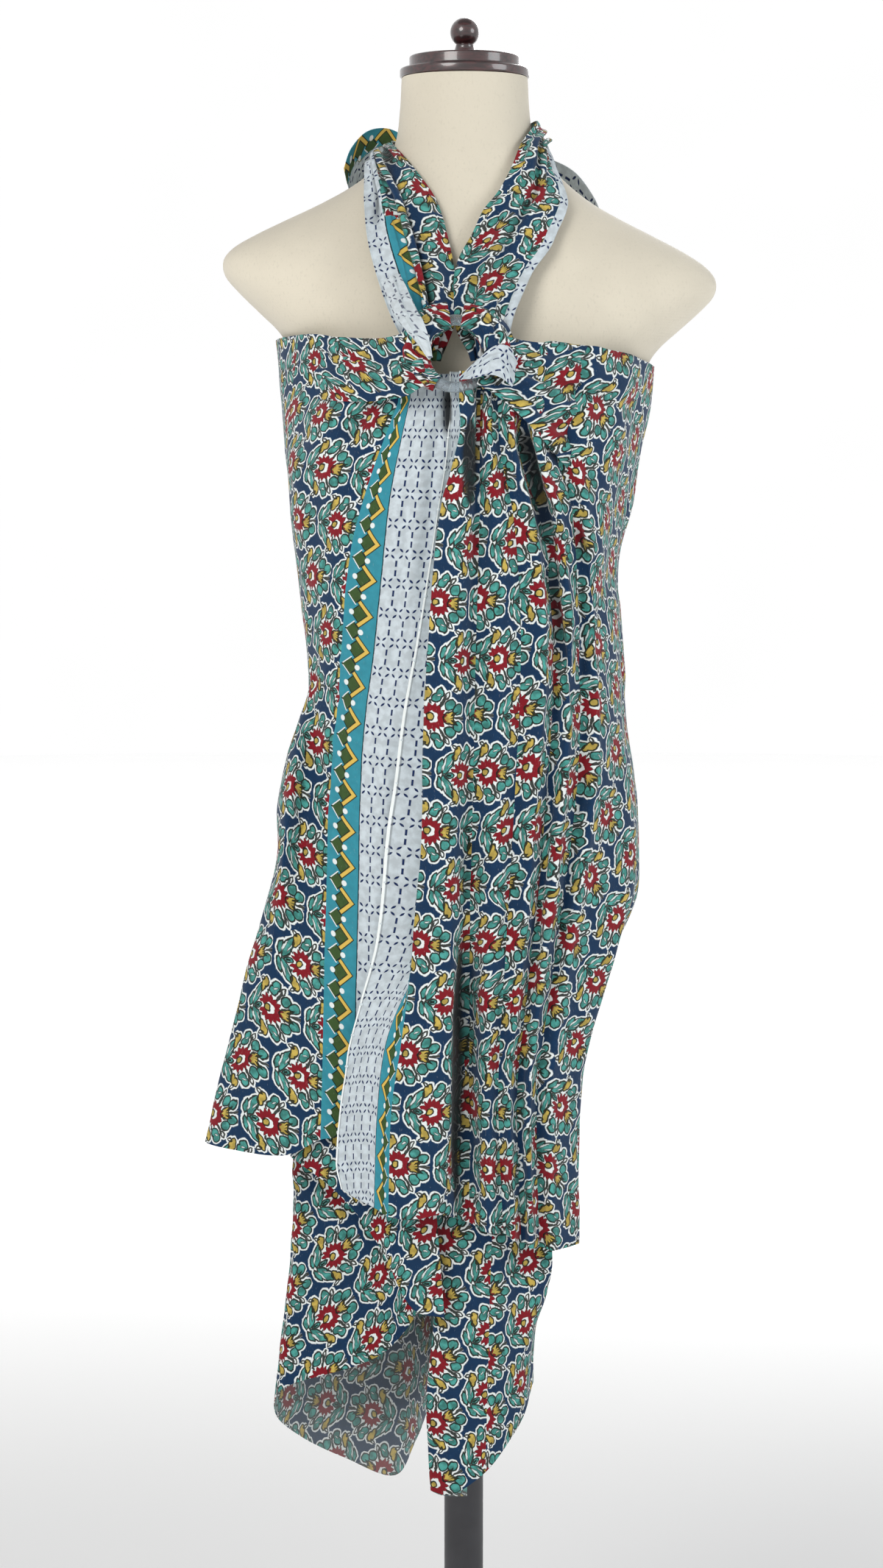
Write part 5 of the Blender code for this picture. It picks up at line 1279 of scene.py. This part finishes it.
# Cloth gathered at the ring: name, stations of upper and lower edge, puff, pleats, pleat depth, distance of
# the upper edge from the selvedge where it is bordered, and the turn of the print
GATHERS = (
    ("left_gather", (
        ((-0.0360, -0.1580, 1.2860), (-0.0280, -0.1560, 1.2470)),
        ((-0.0500, -0.1500, 1.2830), (-0.0440, -0.1530, 1.2380)),
        (on_panel(-0.0640, 1.2810, 0.0150), on_panel(-0.0600, 1.2350, 0.0140)),
        (on_panel(-0.0800, 1.2815, 0.0070), on_panel(-0.0780, 1.2335, 0.0090)),
        (on_panel(-0.0960, 1.2830, 0.0035), on_panel(-0.0960, 1.2340, 0.0060)),
        (on_panel(-0.1120, 1.2840, -0.0015), on_panel(-0.1140, 1.2360, -0.0010)),
    ), 0.004, 2.0, 0.0030, None, 8.0),
    ("right_gather", (
        ((0.0180, -0.1590, 1.2840), (0.0080, -0.1560, 1.2460)),
        ((0.0360, -0.1520, 1.2800), (0.0230, -0.1520, 1.2380)),
        (on_panel(0.0520, 1.2780, 0.0150), on_panel(0.0380, 1.2260, 0.0150)),
        (on_panel(0.0700, 1.2770, 0.0120), on_panel(0.0520, 1.2120, 0.0130)),
        (on_panel(0.0900, 1.2760, 0.0080), on_panel(0.0660, 1.1960, 0.0110)),
        (on_panel(0.1120, 1.2740, -0.0010), on_panel(0.0820, 1.1780, -0.0020)),
    ), -0.003, 3.0, 0.0032, None, -28.0),
    ("ring_flap", (
        ((-0.0050, -0.1600, 1.2505), (-0.0035, -0.1590, 1.2490)),
        ((0.0073, -0.1640, 1.2630), (0.0060, -0.1660, 1.2500)),
        ((0.0206, -0.1620, 1.2736), (0.0175, -0.1690, 1.2525)),
        ((0.0310, -0.1580, 1.2745), (0.0265, -0.1690, 1.2500)),
        ((0.0395, -0.1500, 1.2660), (0.0345, -0.1580, 1.2440)),
    ), -0.003, 0.8, 0.0012, 0.008, 0.0),
    ("left_strap_edge", (
        ((-0.0640, -0.1120, 1.3240), (-0.0500, -0.1200, 1.3300)),
        ((-0.0590, -0.1260, 1.3110), (-0.0440, -0.1340, 1.3175)),
        ((-0.0530, -0.1440, 1.2975), (-0.0380, -0.1510, 1.3040)),
        ((-0.0440, -0.1580, 1.2850), (-0.0320, -0.1640, 1.2915)),
        ((-0.0345, -0.1660, 1.2735), (-0.0275, -0.1690, 1.2780)),
        ((-0.0270, -0.1690, 1.2640), (-0.0255, -0.1690, 1.2655)),
    ), 0.003, 0.8, 0.0010, 0.010, 0.0),
)


def bundle_round_ring(u, v, start, end, fat):
    """A turn of cloth round the ring that narrows to a tip at its lower end."""
    return turn_round_ring(u, v, start, end, fat * (1.0 - 0.45 * smooth_step(0.55, 1.0, v)))


def strap_point(stations, side, u, v):
    """A point of a strap. Over the ring the straps lean on each other, the right one a little in front."""
    spot = band(stations, u, v, STRAP_PUFF * side, STRAP_PLEATS, STRAP_PLEAT_DEPTH)
    meet = (smooth_step(0.55, 1.0, u) * smooth_step(1.268, 1.290, spot.z)
            * (1.0 - smooth_step(1.330, 1.362, spot.z)))
    return spot + Vector((-0.0052, -0.0020, 0.0) if side > 0.0 else (0.0014, 0.0, 0.0)) * meet


def run_border(start, white_end=math.inf, beyond=0.0, rate=1.0):
    """Gives the distance from the selvedge on a gathered band: border up to white_end, then flowers."""
    def edge(u, run_at, fall):
        run = run_at(u)
        return (start + rate * run if run < white_end else beyond + run), fall
    return edge


def left_strap_border(u, run_at, fall):
    """White along the outer edge, a sliver of the zigzag low down, and flowers beyond it."""
    run = run_at(u)
    bordered = run < 0.0165 or (run < 0.0310 and fall < 0.150)
    return (0.0335 if bordered else 0.2) + run, fall


def strap_relief(depth, pleats, phase):
    """Crisp uneven pleats along a gathered band, on top of the solid's soft ones."""
    def relief(spot, u, v):
        ride = u * pleats + phase + 0.35 * math.sin(5.0 * v + 9.0 * u)
        crest = abs((ride % 1.0) * 2.0 - 1.0) ** 0.8 - 0.5
        fade = math.sin(math.pi * min(max(u, 0.0), 1.0)) ** 0.35
        return depth * crest * fade * (0.75 + 0.25 * math.sin(11.0 * v + 17.0 * u)) + swell(spot, 0.0008)
    return relief


# The straps: name, stations, side, turn of the print, where one flower sits, border, depth and phase of the
# pleats, and the depth at which a pleat's painted shade is full
STRAPS = (
    ("left_strap", LEFT_STRAP, -1.0, 78.0, (-0.040, 1.330), left_strap_border, 0.0084, 0.2, 0.0034),
    ("right_strap", RIGHT_STRAP, 1.0, -60.0, (0.020, 1.325), run_border(0.041, 0.0085, 0.2),
     0.0044, 0.6, 0.0042),
)
# The ends behind the neck: name, stations, side, and border
TAILS = (
    ("left_tail", LEFT_TAIL, -1.0, run_border(0.056, 0.017, -0.010)),
    ("right_tail", RIGHT_TAIL, 1.0, run_border(0.005, rate=0.5)),
)


class SARONG_OT_halter(bpy.types.Operator):
    """Draws the two straps up to the neck, and turns the cloth round the ring"""
    bl_idname = "sarong.halter"
    bl_label = "Straps and turns"

    def execute(self, context):
        for name, stations, side, turn, flower, border, depth, phase, painted_shade_depth in STRAPS:
            made = cloth_shell(name + "_cloth", 64, 96, lambda u, v: strap_point(stations, side, u, v),
                               strap_relief(depth, 3.4, phase), plain_lie(turn, flower, -side), border, True,
                               side < 0.0, painted_shade_depth)
            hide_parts(name)
        for name, start, end, fat in BUNDLES:
            arc = (math.radians(start), math.radians(end))
            made = cloth_shell(name + "_cloth", 72, 64, lambda u, v: bundle_round_ring(u, v, *arc, fat),
                               turn_relief(name), plain_lie(40.0, (0.0, 1.30)), no_edge, False,
                               name == "right_turn", 0.0034)
            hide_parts(name)
        for name, stations, puff, pleats, depth, start, turn in GATHERS:
            bordered = start is not None
            made = cloth_shell(name, 56, 56, lambda u, v: band(stations, u, v, puff, pleats, depth),
                               strap_relief(0.0022, pleats + 1.5, 0.3), plain_lie(turn, (0.03, 1.26)),
                               run_border(start) if bordered else no_edge, bordered,
                               stations[0][0][0] < stations[-1][0][0], 0.0036)
            width = sum((Vector(a) - Vector(b)).length for a, b in stations) / len(stations)
            run = (Vector(stations[-1][0]) - Vector(stations[0][0])).length
        return {'FINISHED'}


def turn_relief(name):
    """Gathers that run along a turn of cloth and twist a little, deepest on its outer side."""
    twist = 0.9 if name == "left_turn" else -0.7

    def relief(spot, u, v):
        ride = 2.0 * math.pi * (7.0 * u + twist * v)
        gathers = 0.0016 * math.cos(ride) + 0.0009 * math.cos(2.3 * ride + 0.6 * math.pi)
        return math.sin(math.pi * u) * gathers
    return relief


class SARONG_OT_nape(bpy.types.Operator):
    """Ties the knot behind the neck and its two hanging ends"""
    bl_idname = "sarong.nape"
    bl_label = "Knot and ends"

    def execute(self, context):
        for name, stations, side, border in TAILS:
            puff = TAIL_PUFF * side
            made = cloth_shell(name + "_cloth", 40, 48,
                               lambda u, v: band(stations, u, v, puff, TAIL_PLEATS, TAIL_PLEAT_DEPTH),
                               strap_relief(0.0016, 3.0, 0.4), plain_lie(30.0, (-0.06, 1.40)), border, True,
                               side > 0.0)
            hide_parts(name)
        build_nape_knot()
        return {'FINISHED'}


def build_nape_knot():
    """The knot: a rounded lump with wraps twisting over it, its print laid by the angle round it."""
    bm = bmesh.new()
    bmesh.ops.create_uvsphere(bm, u_segments=56, v_segments=36, radius=1.0)
    prints = bm.loops.layers.uv.new("print")
    bm.loops.layers.uv.new("edge")
    for face in bm.faces:
        for loop in face.loops:
            spot = loop.vert.co
            loop[prints].uv = (0.018 * math.atan2(spot.z, spot.x), 0.018 * spot.y)
    for spot in bm.verts:
        turn = math.atan2(spot.co.z, spot.co.x)
        wrap = (1.0 + 0.06 * math.cos(3.0 * turn + 4.0 * spot.co.y)
                + 0.035 * math.cos(9.0 * turn + 11.0 * spot.co.y))
        off = Vector([size * reach for size, reach in zip(KNOT_SIZE, spot.co)])
        spot.co = Vector(KNOT_CENTRE) + off * wrap
    made = finished("nape_knot_cloth", bm, cotton(False)[:1])
    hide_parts("nape_knot")


def lathe(name, profile, steps_round, mat, centre_z, node):
    """A turned piece: the profile's points (radius, height) spun round the upright axis."""
    bm = bmesh.new()
    spots = [bm.verts.new((radius, 0.0, height + centre_z)) for radius, height in profile]
    edges = [bm.edges.new(pair) for pair in zip(spots, spots[1:])]
    bmesh.ops.spin(bm, geom=spots + edges, cent=(0.0, 0.0, 0.0), axis=(0.0, 0.0, 1.0), angle=2.0 * math.pi,
                   steps=steps_round, use_merge=True)
    bmesh.ops.remove_doubles(bm, verts=bm.verts, dist=1e-5)
    bmesh.ops.recalc_face_normals(bm, faces=bm.faces)
    made = finished(name, bm, [mat])
    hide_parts(node)
    return made


def rounded(profile, radius, segments=4):
    """A profile with each inner corner rounded off by a small arc."""
    found = [profile[0]]
    for before, here, after in zip(profile, profile[1:], profile[2:]):
        a, b, c = Vector(before), Vector(here), Vector(after)
        cut = min(radius, (a - b).length * 0.45, (c - b).length * 0.45)
        first, last = b + (a - b).normalized() * cut, b + (c - b).normalized() * cut
        for n in range(segments + 1):
            t = n / segments
            found.append(tuple((1 - t) ** 2 * first + 2 * t * (1 - t) * b + t ** 2 * last))
    found.append(profile[-1])
    return found


class SARONG_OT_form(bpy.types.Operator):
    """Covers the dress form, and turns its cap, knob, pole and base"""
    bl_idname = "sarong.form"
    bl_label = "Dress form and stand"

    def execute(self, context):
        around, up = 96, 132
        bm = bmesh.new()
        bmesh.ops.create_grid(bm, x_segments=around, y_segments=up, size=0.5)
        heights = [row[0] for row in FORM_SECTIONS]
        for spot in bm.verts:
            turn = 2.0 * math.pi * (spot.co.x + 0.5)
            spot.co = form_point(spread(heights, spot.co.y + 0.5), turn)
        bmesh.ops.remove_doubles(bm, verts=bm.verts, dist=1e-5)
        rims = [edge for edge in bm.edges if edge.is_boundary]
        bmesh.ops.holes_fill(bm, edges=rims, sides=0)
        bmesh.ops.recalc_face_normals(bm, faces=bm.faces)
        made = finished("form_cover", bm, [once("cream jersey", form_jersey)])
        made.data.set_sharp_from_angle(angle=math.radians(50.0))
        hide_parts("form_torso")
        wood, steel = once("polished mahogany", mahogany), once("dark powder coat", stand_metal)
        cap = ((0.0, CAP_HEIGHT), (CAP_STEP_RADIUS, CAP_HEIGHT), (CAP_STEP_RADIUS, 0.0078),
               (CAP_FLANGE_RADIUS, 0.0072), (CAP_FLANGE_RADIUS, 0.0), (0.0, 0.0))
        lathe("cap_turned", rounded(cap, 0.0018), 120, wood, NECK_TOP + GAP, "neck_cap")
        ball = [(KNOB_RADIUS * math.cos(turn), KNOB_MIDDLE + KNOB_RADIUS * math.sin(turn))
                for turn in [math.pi * (0.5 - 0.80 * n / 40.0) for n in range(41)]]
        ball[0] = (0.0, KNOB_MIDDLE + KNOB_RADIUS)
        foot = rounded((ball[-1], (KNOB_NECK_RADIUS, 0.005), (KNOB_NECK_RADIUS + 0.003, 0.0), (0.0, 0.0)),
                       0.0012)
        lathe("knob_turned", ball + foot[1:], 72, wood, NECK_TOP + CAP_HEIGHT + 2.0 * GAP,
              "cap_knob")
        top = FORM_SECTIONS[0][0] - GAP
        pole = ((0.0, top), (POLE_RADIUS, top), (POLE_RADIUS, BASE_HEIGHT + GAP), (0.0, BASE_HEIGHT + GAP))
        lathe("pole_tube", rounded(pole, 0.001), 64, steel, 0.0, "pole")
        base = ((0.0, BASE_HEIGHT), (BASE_RADIUS * 0.30, BASE_HEIGHT),
                (BASE_RADIUS - 0.010, BASE_HEIGHT - 0.006), (BASE_RADIUS, BASE_HEIGHT - 0.012),
                (BASE_RADIUS, 0.0), (0.0, 0.0))
        lathe("base_plate", rounded(base, 0.003), 144, steel, 0.0, "base")
        return {'FINISHED'}


def spread(heights, share):
    """The height at a share of the way up a list of heights, closer together where the form bends."""
    place = share * (len(heights) - 1)
    n = min(int(place), len(heights) - 2)
    return heights[n] + (heights[n + 1] - heights[n]) * (place - n)


class SARONG_OT_ring(bpy.types.Operator):
    """Casts the clear ring that the cloth is drawn through"""
    bl_idname = "sarong.ring"
    bl_label = "Clear ring"

    def execute(self, context):
        bm = bmesh.new()
        right, _, front = ring_axes()
        hoop = []
        sides = 24
        for n in range(sides):
            turn = 2.0 * math.pi * n / sides
            off = (right * (RING_RADIUS + RING_SECTION * math.cos(turn))
                   + front * (RING_SECTION * math.sin(turn)))
            hoop.append(bm.verts.new(Vector(RING_CENTRE) + off))
        edges = [bm.edges.new((hoop[n], hoop[(n + 1) % sides])) for n in range(sides)]
        bmesh.ops.spin(bm, geom=hoop + edges, cent=RING_CENTRE, axis=front, angle=2.0 * math.pi, steps=120,
                       use_merge=True)
        bmesh.ops.remove_doubles(bm, verts=bm.verts, dist=1e-5)
        bmesh.ops.recalc_face_normals(bm, faces=bm.faces)
        made = finished("ring_clear", bm, [once("clear acrylic", clear_acrylic)])
        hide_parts("ring")
        return {'FINISHED'}


class SARONG_OT_trim(bpy.types.Operator):
    """Adds small knots of thread along the leading selvedge, where the fringe was trimmed"""
    bl_idname = "sarong.trim"
    bl_label = "Selvedge threads"

    def execute(self, context):
        last = len(FOLD_LINES) - 1.0
        bm = bmesh.new()
        for n in range(20):
            v = 0.05 + 0.047 * n + 0.008 * math.sin(5.1 * n)
            spot = sheet_point(FOLD_LINES, last - 0.05, v) + Vector((0.0, -0.0012, 0.0))
            made = bmesh.ops.create_icosphere(bm, subdivisions=1, radius=0.0015)
            for vert in made["verts"]:
                vert.co = Vector((vert.co.x * 1.2, vert.co.y * 0.8, vert.co.z * 0.9)) + spot
        finished("selvedge_nubs", bm, [once("white thread", thread_white)])
        return {'FINISHED'}


def soft_lamp(name, place, aim, size, power, tint=(1.0, 1.0, 1.0)):
    """A round soft light at a place, turned to its aim."""
    lamp = bpy.data.lights.new(name, 'AREA')
    lamp.shape = 'DISK'
    lamp.size = size
    lamp.energy = power
    lamp.color = tint
    made = bpy.data.objects.new(name, lamp)
    made.location = place
    made.rotation_euler = (Vector(aim) - Vector(place)).to_track_quat('-Z', 'Y').to_euler()
    bpy.context.scene.collection.objects.link(made)


STUDIO_RADIUS = 11.0         # the round white wall, beyond every camera
WALL_HEIGHT = 16.0
FLOOR_GLOW = (0.7, 3.2)      # the floor is lit of itself from the first distance to the second, in metres


def glowing(bench, colour, strength):
    """Gives the finish a light of its own."""
    bench.plug(bench.shader.inputs["Emission Color"], colour)
    bench.fixed({"Emission Strength": strength})


def wall_white():
    """Plain white that only glows."""
    bench = Bench("studio wall")
    cloud = bench.noise(bench.solid(), 1.5, 3.0)
    glowing(bench, bench.over(cloud, (0.97, 0.97, 0.97), (1.0, 1.0, 1.0)), 1.0)
    return bench.finish((0.0, 0.0, 0.0, 1.0), 0.9)


def floor_white(colour):
    """A pale matt finish that is lit of itself far out, so that floor and wall meet in plain white."""
    bench = Bench("studio floor")
    far = bench.fade(bench.far(bench.solid((1.0, 1.0, 0.0))), *FLOOR_GLOW)
    glowing(bench, bench.over(far, (0.0, 0.0, 0.0), (1.0, 1.0, 1.0)), 0.62)
    return bench.finish(bench.tones(bench.noise(bench.solid(), 1.5, 3.0), colour, 0.985, 1.0), 0.9)


def studio_object(name, bm, mat):
    """A plain object of the studio, which is no piece of the part."""
    mesh = bpy.data.meshes.new(name)
    bm.to_mesh(mesh)
    bm.free()
    mesh.materials.append(mat)
    made = bpy.data.objects.new(name, mesh)
    bpy.context.scene.collection.objects.link(made)
    return made


def backdrop():
    """A round white wall far outside, which only the camera sees: it lights nothing."""
    bm = bmesh.new()
    bmesh.ops.create_cone(bm, segments=96, radius1=STUDIO_RADIUS, radius2=STUDIO_RADIUS, depth=WALL_HEIGHT)
    bmesh.ops.translate(bm, verts=bm.verts, vec=(0.0, 0.0, WALL_HEIGHT / 2.0 - 0.1))
    bmesh.ops.reverse_faces(bm, faces=bm.faces)
    wall = studio_object("backdrop", bm, wall_white())
    wall.visible_diffuse = False
    wall.visible_shadow = False


class SARONG_OT_stage(bpy.types.Operator):
    """Sets the pale floor, the soft studio light and the camera"""
    bl_idname = "sarong.stage"
    bl_label = "Studio"

    def execute(self, context):
        sizes = context.scene.sarong_studio
        bm = bmesh.new()
        bmesh.ops.create_circle(bm, cap_ends=True, segments=96, radius=STUDIO_RADIUS)
        studio_object("floor", bm, floor_white(sizes.floor))
        backdrop()
        soft_lamp("key light", (-1.5, -2.6, 2.6), (0.0, 0.0, 1.0), 1.6, sizes.key, (1.0, 0.985, 0.96))
        soft_lamp("side light", (2.4, -1.2, 1.9), (0.0, 0.0, 0.95), 1.4, 0.45 * sizes.key, (0.95, 0.98, 1.0))
        soft_lamp("rim light", (0.6, 2.6, 2.3), (0.0, 0.0, 1.0), 1.4, 0.55 * sizes.key)
        world = bpy.data.worlds.new("studio") if context.scene.world is None else context.scene.world
        context.scene.world = world
        world.use_nodes = True
        sky = world.node_tree.nodes["Background"]
        sky.inputs["Color"].default_value = (1.0, 1.0, 1.0, 1.0)
        sky.inputs["Strength"].default_value = sizes.fill
        context.scene.view_settings.view_transform = 'Standard'
        seen = bpy.data.cameras.new("camera")
        seen.sensor_fit = 'VERTICAL'
        seen.sensor_height = 36.0
        seen.lens = sizes.lens
        camera = bpy.data.objects.new("camera", seen)
        camera.location = (-0.0184, -2.60, 1.18)
        camera.rotation_euler = (math.radians(90.0 - 5.525), 0.0, 0.0)
        context.scene.collection.objects.link(camera)
        context.scene.camera = camera
        return {'FINISHED'}


class SARONG_PT_panel(bpy.types.Panel):
    """The sarong's sizes, dyes and operators"""
    bl_idname = "SARONG_PT_panel"
    bl_label = "Sarong"
    bl_space_type = 'VIEW_3D'
    bl_region_type = 'UI'
    bl_category = "Sarong"

    def draw(self, context):
        for holder in (context.scene.sarong_print, context.scene.sarong_cloth, context.scene.sarong_studio):
            box = self.layout.box()
            for key in holder.__annotations__:
                box.prop(holder, key)
        for operator in OPERATORS:
            self.layout.operator(operator.bl_idname)


OPERATORS = (SARONG_OT_stage, SARONG_OT_form, SARONG_OT_ring, SARONG_OT_panels, SARONG_OT_halter,
             SARONG_OT_nape, SARONG_OT_trim)
CLASSES = (PrintSizes, ClothSizes, StudioSizes) + OPERATORS + (SARONG_PT_panel,)


def register():
    for kind in CLASSES:
        bpy.utils.register_class(kind)
    bpy.types.Scene.sarong_print = bpy.props.PointerProperty(type=PrintSizes)
    bpy.types.Scene.sarong_cloth = bpy.props.PointerProperty(type=ClothSizes)
    bpy.types.Scene.sarong_studio = bpy.props.PointerProperty(type=StudioSizes)


def unregister():
    del bpy.types.Scene.sarong_print
    del bpy.types.Scene.sarong_cloth
    del bpy.types.Scene.sarong_studio
    for kind in reversed(CLASSES):
        bpy.utils.unregister_class(kind)


def main():
    """Dresses the part in order."""
    register()
    bpy.ops.sarong.stage()
    bpy.ops.sarong.form()
    bpy.ops.sarong.ring()
    bpy.ops.sarong.panels()
    bpy.ops.sarong.halter()
    bpy.ops.sarong.nape()
    bpy.ops.sarong.trim()
    bpy.context.view_layer.update()


if __name__ == "__main__":
    main()
